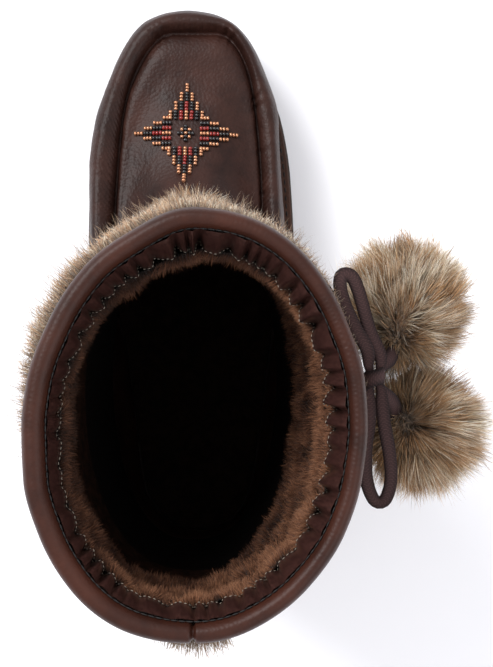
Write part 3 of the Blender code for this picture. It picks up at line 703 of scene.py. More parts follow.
class Slot(Enum):
    """The record's material slots, one named for each kind of piece."""

    RAND = "leather_rand"
    FOOTBED = "footbed"
    FOOT = "foot_leather"
    BEADS = "beadwork"
    FUR = "shaft_fur"
    BINDING = "binding_leather"
    SATIN = "facing_satin"
    LACE = "woven_lace"


def linear(code: str) -> tuple[float, float, float, float]:
    """An sRGB hex colour as linear red, green, blue and alpha.

    Args:
        code: a hash and six hex digits.
    Returns:
        Four numbers from 0 to 1.
    """
    parts = [int(code[k : k + 2], 16) / 255 for k in (1, 3, 5)]
    r, g, b = ((c / 12.92) if c <= 0.04045 else ((c + 0.055) / 1.055) ** 2.4 for c in parts)
    return (r, g, b, 1.0)


# The wave texture's Scale times its period, in its vector's units
WAVE_PERIOD = math.pi / 10


def per_metre(millimetres: float) -> float:
    """A texture's scale for a pattern of this real width."""
    return 1.0 / (millimetres * MM)


def feed(node: Node, links: dict) -> None:
    """Sets a node's inputs, each to a value or to the output that feeds it.

    Args:
        node: the node.
        links: for each input's name or number, a value or an output.
    """
    for name, value in links.items():
        if isinstance(value, bpy.types.NodeSocket):
            node.id_data.links.new(value, node.inputs[name])
        else:
            node.inputs[name].default_value = value


def add_node(tree: NodeTree, kind: str, links: dict, **settings: object) -> Node:
    """Adds a node.

    Args:
        tree: the material's node tree.
        kind: the node's type name, after ShaderNode.
        links: for each input, a value or the output that feeds it.
        settings: its properties; stops, for a colour ramp, are pairs of place and hex colour.
    Returns:
        The node.
    """
    node = tree.nodes.new("ShaderNode" + kind)
    stops = settings.pop("stops", ())
    for name, value in settings.items():
        setattr(node, name, value)
    if stops:
        steps = node.color_ramp.elements
        while len(steps) < len(stops):
            steps.new(1.0)
        for step, (place, colour) in zip(steps, stops):
            step.position, step.color = place, linear(colour)
    feed(node, links)
    return node


@dataclass(frozen=True)
class Finish:
    """What every finish shares."""

    name: str
    roughness: float = 0.5

    def dress(self, tree: NodeTree, shader: Node) -> None:
        """Adds what sets the finish apart.

        Args:
            tree: the material's node tree.
            shader: its shader.
        """
        raise NotImplementedError

    def build(self) -> Material:
        """Makes the material.

        Returns:
            The material, with its roughness set and the finish's own nodes.
        """
        material = bpy.data.materials.new(self.name)
        material.use_nodes = True
        shader = material.node_tree.nodes["Principled BSDF"]
        feed(shader, {"Roughness": self.roughness})
        self.dress(material.node_tree, shader)
        return material


@dataclass(frozen=True)
class MattPaint(Finish):
    """Matt floor paint: one pale, even colour, so that only the boot has texture."""

    colour: str = "#fcfcff"

    def dress(self, tree: NodeTree, shader: Node) -> None:
        """Adds the colour."""
        feed(shader, {"Base Color": linear(self.colour)})


@dataclass(frozen=True)
class TumbledLeather(Finish):
    """Full-grain leather softened in a drum: a pebbled grain, a low sheen and clouded dye.

    The pebbles are about 0.8 mm on the real hide and are drawn 1.2 to 1.5 mm wide, so that they show.
    """

    dark: str = "#20110d"
    light: str = "#3c231c"
    grain_mm: float = 1.5
    grain_depth_mm: float = 0.30
    pore_mm: float = 1.8
    cloud_mm: float = 22.0
    specular: float = 0.19

    def dress(self, tree: NodeTree, shader: Node) -> None:
        """Adds the finish's nodes.

        Args:
            tree: the material's node tree.
            shader: its shader.
        """
        place = add_node(tree, "TexCoord", {}).outputs["Object"]
        dye = {"Vector": place, "Scale": per_metre(self.cloud_mm), "Detail": 5.0, "Roughness": 0.6}
        cloud = add_node(tree, "TexNoise", dye).outputs["Fac"]
        tint = add_node(tree, "ValToRGB", {"Fac": cloud}, stops=((0.30, self.dark), (0.72, self.light)))
        grain = {"Vector": place, "Scale": per_metre(self.grain_mm), "Smoothness": 0.35}
        pebble = add_node(tree, "TexVoronoi", grain, feature="SMOOTH_F1").outputs["Distance"]
        fine = {"Vector": place, "Scale": per_metre(self.pore_mm), "Detail": 4.0}
        pores = add_node(tree, "TexNoise", fine).outputs["Fac"]
        height = add_node(tree, "Math", {0: pebble, 1: -1.0, 2: pores}, operation="MULTIPLY_ADD").outputs[0]
        depth = self.grain_depth_mm * MM
        bump = add_node(tree, "Bump", {"Strength": 0.55, "Distance": depth, "Height": height})
        wear_and_painted_shade = {"Value": cloud, "To Min": self.roughness - 0.07, "To Max": self.roughness + 0.09}
        gloss = add_node(tree, "MapRange", wear_and_painted_shade)
        surface = {"Base Color": tint.outputs["Color"], "Normal": bump.outputs["Normal"]}
        feed(shader, {**surface, "Roughness": gloss.outputs["Result"], "Specular IOR Level": self.specular})


@dataclass(frozen=True)
class CombedFur(Finish):
    """Rabbit fur, tanned on the skin: dark woolly roots, banded guard hairs and pale tips.

    The UV's first number picks the hair, from pale through warm to grey, and its second runs from root to
    tip. Each kind of hair is a table of the share of the way to its tip and the colour there.
    """

    pale: tuple = (
        (0.0, "#3a3028"),
        (0.34, "#86745c"),
        (0.62, "#d8cbb0"),
        (0.86, "#f2ecdd"),
        (1.0, "#f6f2e8"),
    )
    warm: tuple = ((0.0, "#2a1d14"), (0.36, "#694b31"), (0.70, "#b07f50"), (1.0, "#d0a978"))
    grey: tuple = (
        (0.0, "#1e1814"),
        (0.35, "#4f443a"),
        (0.68, "#9c8b74"),
        (0.84, "#433a33"),
        (1.0, "#211d1b"),
    )

    def dress(self, tree: NodeTree, shader: Node) -> None:
        """Adds the finish's nodes.

        Args:
            tree: the material's node tree.
            shader: its shader.
        """
        uv = add_node(tree, "UVMap", {}, uv_map="run").outputs["UV"]
        split = add_node(tree, "SeparateXYZ", {"Vector": uv})
        kinds = []
        for stops in (self.pale, self.warm, self.grey):
            ramp = add_node(tree, "ValToRGB", {"Fac": split.outputs["Y"]}, stops=stops)
            kinds.append(ramp.outputs["Color"])
        colour = kinds[0]
        for low, kind in ((0.0, kinds[1]), (0.5, kinds[2])):
            limits = {"Value": split.outputs["X"], "From Min": low, "From Max": low + 0.5}
            share = add_node(tree, "MapRange", limits).outputs["Result"]
            colour = add_node(tree, "Mix", {0: share, 6: colour, 7: kind}, data_type="RGBA").outputs[2]
        sheen = {"Sheen Weight": 0.2, "Sheen Roughness": 0.35, "Specular IOR Level": 0.25}
        feed(shader, {"Base Color": colour, **sheen})


@dataclass(frozen=True)
class GrainedFinish(Finish):
    """A surface that one fine grain tints and raises, in one colour where it has no light one."""

    dark: str = "#000000"
    light: str = ""
    grain_mm: float = 1.0
    span: tuple[float, float] = (0.35, 0.75)
    detail: float = 4.0
    harshness: float = 0.5
    stretch: tuple[float, float, float] = (1.0, 1.0, 1.0)
    relief: float = 0.5
    relief_mm: float = 0.15
    specular: float = 0.5
    specular_tint: str = "#ffffff"

    def dress(self, tree: NodeTree, shader: Node) -> None:
        """Adds the finish's nodes.

        Args:
            tree: the material's node tree.
            shader: its shader.
        """
        place = add_node(tree, "TexCoord", {}).outputs["Object"]
        if self.stretch != (1.0, 1.0, 1.0):
            place = add_node(tree, "Mapping", {"Vector": place, "Scale": self.stretch}).outputs["Vector"]
        noise = {"Vector": place, "Scale": per_metre(self.grain_mm), "Detail": self.detail}
        grain = add_node(tree, "TexNoise", {**noise, "Roughness": self.harshness}).outputs["Fac"]
        colour = linear(self.dark)
        if self.light:
            stops = zip(self.span, (self.dark, self.light))
            colour = add_node(tree, "ValToRGB", {"Fac": grain}, stops=tuple(stops)).outputs["Color"]
        relief = {"Strength": self.relief, "Distance": self.relief_mm * MM, "Height": grain}
        bump = add_node(tree, "Bump", relief)
        gleam = {"Specular IOR Level": self.specular, "Specular Tint": linear(self.specular_tint)}
        feed(shader, {"Base Color": colour, "Normal": bump.outputs["Normal"], **gleam})


@dataclass(frozen=True)
class CrepeRubber(GrainedFinish):
    """Moulded crepe rubber: matt, with the crumb that the mould leaves, drawn 1.4 mm wide."""

    dark: str = "#2b211d"
    light: str = "#3a2e28"
    grain_mm: float = 1.4


@dataclass(frozen=True)
class GatheredSatin(GrainedFinish):
    """Satin-woven lining cloth: long floats, whose streaked highlights down the gathers are painted into its
    colour.

    The floats are a few tenths of a millimetre wide, and are drawn 0.9 mm wide, so that they show.
    """

    # The lighter streaks that the grain draws in this colour are painted highlights
    dark: str = "#1f1211"
    light: str = "#452b26"
    grain_mm: float = 0.9
    span: tuple[float, float] = (0.15, 0.95)
    detail: float = 3.0
    stretch: tuple[float, float, float] = (1.0, 1.0, 0.15)
    relief: float = 0.25
    relief_mm: float = 0.05
    specular: float = 0.7
    specular_tint: str = "#d0a592"


@dataclass(frozen=True)
class WaxedThread(GrainedFinish):
    """Bonded polyester thread, waxed: a fine twist and a soft gleam."""

    dark: str = "#1c1411"
    grain_mm: float = 0.5
    detail: float = 1.0
    relief_mm: float = 0.1


@dataclass(frozen=True)
class Fleece(GrainedFinish):
    """Clipped shearling seen as a surface: woolly tufts of 5 mm, and no shine."""

    dark: str = "#120a06"
    light: str = "#3d2418"
    grain_mm: float = 5.0
    detail: float = 6.0
    harshness: float = 0.7
    relief: float = 0.8
    relief_mm: float = 1.2
    specular: float = 0.1


@dataclass(frozen=True)
class WovenLace(Finish):
    """Flat cotton lace: a soft herringbone of 0.8 mm ribs, its colour darkened towards both edges by painted
    shade.
    """

    colour: str = "#130b0c"
    light: str = "#4c3736"
    thread_mm: float = 0.8
    unshaded_mm: float = 0.8
    shade_edge_mm: float = 2.9

    def dress(self, tree: NodeTree, shader: Node) -> None:
        """Adds the finish's nodes.

        Args:
            tree: the material's node tree.
            shader: its shader.
        """
        uv = add_node(tree, "UVMap", {}, uv_map="run").outputs["UV"]
        split = add_node(tree, "SeparateXYZ", {"Vector": uv})
        across = add_node(tree, "Math", {0: split.outputs["X"]}, operation="ABSOLUTE").outputs[0]
        chevron = add_node(tree, "CombineXYZ", {"X": across, "Y": split.outputs["Y"]}).outputs["Vector"]
        scale = per_metre(self.thread_mm) * WAVE_PERIOD
        ribs = []
        for vector, way, bent in ((chevron, "DIAGONAL", 1.0), (uv, "Y", 0.6)):
            links = {"Vector": vector, "Scale": scale, "Distortion": bent, "Detail": 1.0}
            rib = add_node(tree, "TexWave", links, wave_type="BANDS", bands_direction=way)
            ribs.append(rib.outputs["Fac"])
        weave = add_node(tree, "Math", {0: ribs[0], 1: ribs[1]}, operation="MULTIPLY").outputs[0]
        # Painted shade: the colour darkens from the lace's middle out to both edges
        painted_edge_shade = {"From Min": self.unshaded_mm * MM, "From Max": self.shade_edge_mm * MM, "To Min": 0.55, "To Max": 0.05}
        edge = add_node(tree, "MapRange", {"Value": across, **painted_edge_shade}).outputs["Result"]
        lit = add_node(tree, "Math", {0: weave, 1: 0.45, 2: edge}, operation="MULTIPLY_ADD").outputs[0]
        tint = add_node(tree, "ValToRGB", {"Fac": lit}, stops=((0.05, self.colour), (0.95, self.light)))
        bump = add_node(tree, "Bump", {"Strength": 0.6, "Distance": 0.18 * MM, "Height": weave})
        surface = {"Base Color": tint.outputs["Color"], "Normal": bump.outputs["Normal"]}
        feed(shader, {**surface, "Specular IOR Level": 0.2})


@dataclass(frozen=True)
class SeedBead(Finish):
    """Drawn glass seed bead, tumbled bright: a hard highlight and a rounded edge."""

    colour: str = "#101014"
    metallic: float = 0.0

    def dress(self, tree: NodeTree, shader: Node) -> None:
        """Adds the finish's nodes.

        Args:
            tree: the material's node tree.
            shader: its shader.
        """
        place = add_node(tree, "TexCoord", {}).outputs["Object"]
        uneven = add_node(tree, "TexNoise", {"Vector": place, "Scale": per_metre(1.2), "Detail": 1.0})
        wear_and_painted_shade = {"Value": uneven.outputs["Fac"], "To Min": self.roughness, "To Max": self.roughness + 0.2}
        gloss = add_node(tree, "MapRange", wear_and_painted_shade).outputs["Result"]
        glass = {"Base Color": linear(self.colour), "Metallic": self.metallic, "Coat Weight": 0.6}
        feed(shader, {**glass, "Roughness": gloss})


FLOOR_PAINT = MattPaint("painted floor", 0.9)
FOOT_LEATHER = TumbledLeather("tumbled full-grain leather", 0.44)
BINDING_LEATHER = TumbledLeather(
    "rolled binding leather",
    0.43,
    dark="#27130d",
    light="#412218",
    grain_mm=1.3,
    grain_depth_mm=0.14,
    specular=0.20,
)
RAND_LEATHER = TumbledLeather("rand leather", 0.50, dark="#35221b", light="#4f3428", grain_mm=1.2)
SOLE_RUBBER = CrepeRubber("moulded crepe rubber", 0.8)
RABBIT_FUR = CombedFur("combed rabbit fur", 0.6)
# The darker kinds of this pile are the tones that its painted shade picks
CUFF_PILE = CombedFur(
    "clipped shearling pile",
    0.85,
    pale=((0.0, "#20130c"), (0.5, "#70472f"), (1.0, "#a87859")),
    warm=((0.0, "#140b07"), (0.5, "#472a1c"), (1.0, "#6d4632")),
    grey=((0.0, "#0b0604"), (0.5, "#24150d"), (1.0, "#3a2317")),
)
CUFF_GROUND = Fleece("shearling cuff", 0.95)
# Near-black fleece below the cuff: painted shade deep in the shaft
SHADE_LINING = Fleece("near-black fleece for painted shade", 0.98, "#070504", "#140d0a")
FOOTBED_WOOL = Fleece("woolly footbed", 0.95, "#0c0806", "#241812")
SATIN = GatheredSatin("gathered satin", 0.29)
LACE = WovenLace("woven cotton lace", 0.8)
DARK_THREAD = WaxedThread("dark waxed thread", 0.7, "#0b0706")
CREAM_THREAD = WaxedThread("cream cotton thread", 0.7, "#8d8376")

MATERIALS: dict[str, Material] = {}


def made(finish: Finish) -> Material:
    """The material of a finish, made once.

    Args:
        finish: the finish.
    Returns:
        Its material.
    """
    if finish.name not in MATERIALS:
        MATERIALS[finish.name] = finish.build()
    return MATERIALS[finish.name]


def seat_piece(thing: Thing, finish: Finish, slot: Slot, *nodes: str) -> Thing:
    """Gives a piece its finish and the boot's one body, and hides the nodes it stands for.

    Args:
        thing: the piece.
        finish: its look.
        slot: its slot in the record; not used.
        nodes: the CAD nodes that it stands for.
    Returns:
        The same piece.
    """
    thing.data.materials.append(made(finish))
    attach(thing, BODY)
    if nodes:
        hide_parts(*nodes)
    LOG.info("%s: %d triangles", thing.name, len(thing.data.loops) - 2 * len(thing.data.polygons))
    return thing


class BeadColour(Enum):
    """The three kinds of bead."""

    COPPER = SeedBead("copper-lined glass", 0.20, "#c98e68", 0.8)
    BLACK = SeedBead("jet glass", 0.10, "#08080a")
    RED = SeedBead("dark red glass", 0.15, "#8a1a12")


# The boot's form


@dataclass(frozen=True)
class BootForm:
    """Sizes that the boot's pieces share, and the surfaces worked out from them."""

    sole_length: float = 0.280
    ball_width: float = 0.110
    heel_rest: float = 0.038
    heel_stack: float = 0.022
    forefoot_stack: float = 0.013
    toe_spring: float = 0.010
    clear: float = 0.0003
    leather: float = 0.0020
    foot_inset: float = 0.0064
    welt_rise: float = 0.0034
    vamp_height: float = 0.046
    groove_depth: float = 0.0062
    heel_swell: float = 0.0030
    toe_setback: float = 0.0004
    side_setback: float = 0.0054
    inner_bulge: float = 0.0018
    hem_width: float = 0.090
    hem_height: float = 0.085
    hem_wall: float = 0.0030
    hem_rear: float = 0.0214
    hem_front: float = 0.618
    hem_centre: float = 0.0040
    hem_squareness: float = 0.80
    collar_width: float = 0.1360
    collar_length: float = 0.1706
    collar_offset: float = 0.0094
    collar_station: float = 0.2715
    collar_height: float = 0.2565
    binding_width: float = 0.0092
    binding_height: float = 0.0135
    shaft_setback: float = 0.0045
    seam_clear: float = 0.0008

    def station_y(self, station: Array) -> Array:
        """Y of a station, which runs from 0 at the back of the sole to 1 at the toe tip."""
        return np.asarray(station, float) * self.sole_length - self.heel_rest

    def seat(self, y: Array) -> Array:
        """Height of the sole's top.

        Args:
            y: places along the foot.
        Returns:
            The heights there.
        """
        s = (np.asarray(y, float) + self.heel_rest) / self.sole_length
        heel, spring = (read_table(SEAT, k, s) for k in (1, 2))
        ground = self.forefoot_stack + heel * (self.heel_stack - self.forefoot_stack)
        return ground + spring * self.toe_spring

    def outline(self, stations: int) -> Array:
        """The sole's edge in plan, anticlockwise from the back.

        Args:
            stations: steps from the back to the toe.
        Returns:
            (2 * stations, 2).
        """
        s = (1 - np.cos(np.linspace(0, math.pi, stations + 1))) / 2
        turns = np.arccos(np.clip(1 - 2 * np.array(column(OUTLINE, 0)), -1, 1))
        at = np.arccos(np.clip(1 - 2 * s, -1, 1))
        centre, half = (smooth(turns, column(OUTLINE, k), at) * self.ball_width / 2 for k in (1, 2))
        outer, inner = (np.stack([centre + side * half, self.station_y(s)], 1) for side in (1, -1))
        return np.concatenate([outer, inner[-2:0:-1]])

    def spread_outline(self, columns: int, front_from: float, rear_share: float) -> Array:
        """The sole's edge with its points spread by length, closer together towards the toe.

        Args:
            columns: how many points.
            front_from: the y from where they lie closer.
            rear_share: how much closer, as the weight of a step behind it.
        Returns:
            (columns, 2).
        """
        loop = self.outline(400)
        closed = np.concatenate([loop, loop[:1]])
        y = (closed[1:] + closed[:-1])[:, 1] / 2
        run = run_along(closed, lerp(rear_share, 1.0, ease(front_from, front_from + 0.05, y)))
        return read_line(closed, run, np.linspace(0, run[-1], columns, endpoint=False))

    def apron_loop(self, samples: int = 120) -> Array:
        """The groove round the apron, with the height of the roll's crest.

        Args:
            samples: points on each side.
        Returns:
            (2 * samples, 3).
        """
        s = APRON[0][0] + (APRON[-1][0] - APRON[0][0]) * np.sin(np.linspace(0, math.pi / 2, samples))
        centre, half = (read_table(APRON, k, s) * self.ball_width / 2 for k in (1, 2))
        crest = read_table(APRON, 3, s) * self.vamp_height
        outer, inner = (np.stack([centre + side * half, self.station_y(s), crest], 1) for side in (1, -1))
        return np.concatenate([outer, inner[::-1]])

    def hem_loop(self, columns: int) -> Array:
        """The seam between foot and shaft, anticlockwise from the back.

        Args:
            columns: how many points.
        Returns:
            (columns, 3).
        """
        angle = angles(columns)
        span = (1 - np.cos(angle)) / 2
        side = np.sign(np.sin(angle)) * np.abs(np.sin(angle)) ** self.hem_squareness
        station = lerp(self.hem_rear, self.hem_front, span)
        height = read_table(HEM, 1, span) * self.hem_height
        return np.stack([self.hem_centre + side * self.hem_width / 2, self.station_y(station), height], 1)

    def collar_loop(self, columns: int) -> Array:
        """The collar's outer edge in plan, anticlockwise from the back.

        Args:
            columns: how many points.
        Returns:
            (columns, 2).
        """
        angle = angles(columns)
        along = -np.cos(angle)
        turns = np.arccos(np.clip(-np.array(column(COLLAR, 0)), -1, 1))
        at = np.arccos(np.clip(-along, -1, 1))
        medial, lateral = (smooth(turns, column(COLLAR, k), at) for k in (1, 2))
        across = np.where(np.sin(angle) >= 0, lateral, -medial) * self.collar_width / 2
        middle = float(self.station_y(self.collar_station))
        return np.stack([self.collar_offset + across, middle + along * self.collar_length / 2], 1)

    def shaft_top(self) -> float:
        """Height of the hide's upper edge, under the binding."""
        return self.collar_height - self.binding_height - self.clear

    def shaft_ring(self, rise: Array, columns: int, outward: float = 0.0) -> Array:
        """A ring of the shaft's hide at a share of its rise, moved outwards by a distance.

        Args:
            rise: 0 at the seam to 1 under the binding.
            columns: how many points.
            outward: the distance.
        Returns:
            (columns, 3).
        """
        low, high = self.hem_loop(columns), inset(self.collar_loop(columns), self.shaft_setback)
        rise = np.broadcast_to(np.asarray(rise, float), columns)
        plan = lerp(low[:, :2], high, rise[:, None])
        swell, instep = (read_table(SHAFT, k, rise) for k in (1, 2))
        angle = angles(columns)
        plan = inset(plan, -(swell * self.collar_width / 2 + outward))
        plan[:, 1] += instep * ease(0.35, 1.0, -np.cos(angle)) * self.collar_width / 2
        return np.column_stack([plan, lerp(low[:, 2] + self.seam_clear, self.shaft_top(), rise)])

    def shaft_grid(self, rows: int, columns: int, outward: float = 0.0) -> Array:
        """The shaft's hide from the seam to the collar."""
        return np.array([self.shaft_ring(rise, columns, outward) for rise in np.linspace(0, 1, rows)])

    def level_ring(self, height: float, columns: int, outward: float) -> Array:
        """A level ring round the shaft at a height.

        Args:
            height: the height.
            columns: how many points.
            outward: how far it stands off the hide.
        Returns:
            (columns, 3).
        """
        low = self.hem_loop(columns)[:, 2] + self.seam_clear
        ring = self.shaft_ring((height - low) / (self.shaft_top() - low), columns, outward)
        ring[:, 2] = height
        return ring

    def reach(self, loop: Array, origins: Array, ways: Array) -> tuple[Array, Array]:
        """How far each ray runs in plan before it leaves a closed loop, and the loop's height there.

        Args:
            loop: (points, 2 or 3).
            origins: (rays, 2).
            ways: (rays, 2), of length 1.
        Returns:
            The distances, and the heights, which are left empty for a loop in plan.
        """
        start, end = loop, np.roll(loop, -1, 0)
        edge = end[:, :2] - start[:, :2]
        distances, heights = [], []
        for origin, way in zip(origins, ways):
            gap = start[:, :2] - origin
            cross = way[0] * edge[:, 1] - way[1] * edge[:, 0]
            cross = np.where(np.abs(cross) < 1e-12, 1e-12, cross)
            run = (gap[:, 0] * edge[:, 1] - gap[:, 1] * edge[:, 0]) / cross
            share = (gap[:, 0] * way[1] - gap[:, 1] * way[0]) / cross
            best = int(np.where((share >= -1e-9) & (share <= 1 + 1e-9) & (run > 0), run, -1.0).argmax())
            distances.append(run[best])
            if loop.shape[1] > 2:
                heights.append(lerp(start[best, 2], end[best, 2], share[best]))
        return np.array(distances), np.array(heights)

    def rays(self, edge: Array) -> tuple[Array, Array]:
        """Origins and directions of the foot's columns, one through each point of the outline.

        Args:
            edge: (columns, 2).
        Returns:
            Both as (columns, 2).
        """
        back, front = (self.station_y(lerp(self.hem_rear, self.hem_front, t)) for t in (0.24, 0.70))
        origins = np.stack([np.full(len(edge), self.hem_centre / 2), np.clip(edge[:, 1], back, front)], 1)
        return origins, unit(edge - origins)

    def foot_rings(self, edge: Array) -> tuple[Array, Array]:
        """The foot's outer face.

        Args:
            edge: the sole's edge, one point for each column.
        Returns:
            (14, columns, 3) rings from the bottom edge to the seam, and how far each column is rolled.
        """
        origins, ways = self.rays(edge)
        station = (edge[:, 1] + self.heel_rest) / self.sole_length
        inner = 1 - ease(-0.02, 0.02, edge[:, 0])
        toe = ease(lerp(0.70, 0.50, inner), 0.87, station)
        foot, _ = self.reach(inset(edge, self.foot_inset), origins, ways)
        beside = self.side_setback - self.inner_bulge * inner
        side, _ = self.reach(inset(edge, lerp(beside, self.toe_setback, toe)), origins, ways)
        groove, crest = self.reach(self.apron_loop(), origins, ways)
        hem, hem_z = self.reach(self.hem_loop(240), origins, ways)
        seat = self.seat(edge[:, 1]) + self.clear
        rolled = []
        for out, over, inwards, up, below in FOOT_PROFILE:
            radius = lerp(lerp(foot, side, out), groove, over) - inwards * self.groove_depth
            rolled.append((radius, lerp(seat, crest, up) - below * self.groove_depth))
        lip, lip_z = rolled[-1]
        for run, climb in APRON_CLIMB:
            rolled.append((lerp(lip, hem, run), lerp(lip_z, hem_z, climb)))
        shown = ease(0.40, 0.60, station)
        rings = []
        for rise, (rolled_r, rolled_z) in zip(PLAIN_RISE, rolled):
            swell = self.heel_swell * math.sin(math.pi * rise)
            plain_r = lerp(foot, hem, ease(-0.15, 1.15, rise)) + swell
            radius = lerp(plain_r, rolled_r, shown)
            height = lerp(lerp(seat, hem_z, rise), rolled_z, shown)
            rings.append(np.column_stack([origins + ways * radius[:, None], height]))
        rings[-1] = np.column_stack([origins + ways * hem[:, None], hem_z])
        for ring, lift in zip(rings, (0.0, self.welt_rise)):
            ring[:, :2] = origins + ways * foot[:, None]
            ring[:, 2] = self.seat(ring[:, 1]) + self.clear + lift
        return np.array(rings), shown


# Studio


@dataclass(frozen=True)
class Studio:
    """Camera, floor and soft light.

    The photograph looks straight down from 0.9 m. Its scale there is 1664 pixels for a metre at one
    metre's distance, in a frame 667 pixels long.
    """

    camera_place: tuple = (0.030, 0.074, 0.900)
    pixels_per_metre: float = 1664.0
    frame_pixels: float = 667.0
    film: float = 36.0
    floor_size: float = 6.0
    floor_drop: float = 0.0002
    room_colour: str = "#fbfbff"
    room_strength: float = 0.91
    aim: tuple = (0.03, 0.08, 0.12)
    lights: tuple = (
        # name, place, size, watts
        ("window", (-1.3, 1.3, 1.9), 1.2, 60.0),
        ("fill", (1.4, -0.6, 1.8), 1.6, 14.0),
    )

    def camera(self) -> None:
        """The camera, straight above the boot, with the toe at the top of the frame."""
        data = bpy.data.cameras.new("camera")
        data.sensor_width = self.film
        data.lens = self.film * self.pixels_per_metre / self.frame_pixels
        data.clip_start = 0.05
        holder = bpy.data.objects.new("camera", data)
        holder.location = self.camera_place
        bpy.context.scene.collection.objects.link(holder)
        bpy.context.scene.camera = holder

    def floor(self) -> None:
        """A plain pale floor."""
        half = self.floor_size / 2
        corners = [(x * half, y * half, -self.floor_drop) for x, y in ((-1, -1), (1, -1), (1, 1), (-1, 1))]
        floor = mesh_thing("floor", np.array(corners), [[0, 1, 2, 3]])
        floor.data.materials.append(made(FLOOR_PAINT))

    def light(self, name: str, place: tuple, size: float, power: float) -> None:
        """A square soft light that looks at the boot's middle.

        Args:
            name: its name.
            place: where it hangs.
            size: the length of its side.
            power: in watts.
        """
        data = bpy.data.lights.new(name, "AREA")
        data.size = size
        data.energy = power
        lamp = bpy.data.objects.new(name, data)
        lamp.location = place
        aim = Vector(self.aim) - Vector(place)
        lamp.rotation_euler = aim.to_track_quat("-Z", "Y").to_euler()
        bpy.context.scene.collection.objects.link(lamp)

    def build(self) -> None:
        """Camera, floor, lights and the pale room."""
        self.camera()
        self.floor()
        for light in self.lights:
            self.light(*light)
        world = bpy.data.worlds.new("room")
        world.use_nodes = True
        room = {"Color": linear(self.room_colour), "Strength": self.room_strength}
        feed(world.node_tree.nodes["Background"], room)
        bpy.context.scene.world = world
        bpy.context.scene.view_settings.view_transform = "Standard"


# Lace and bow


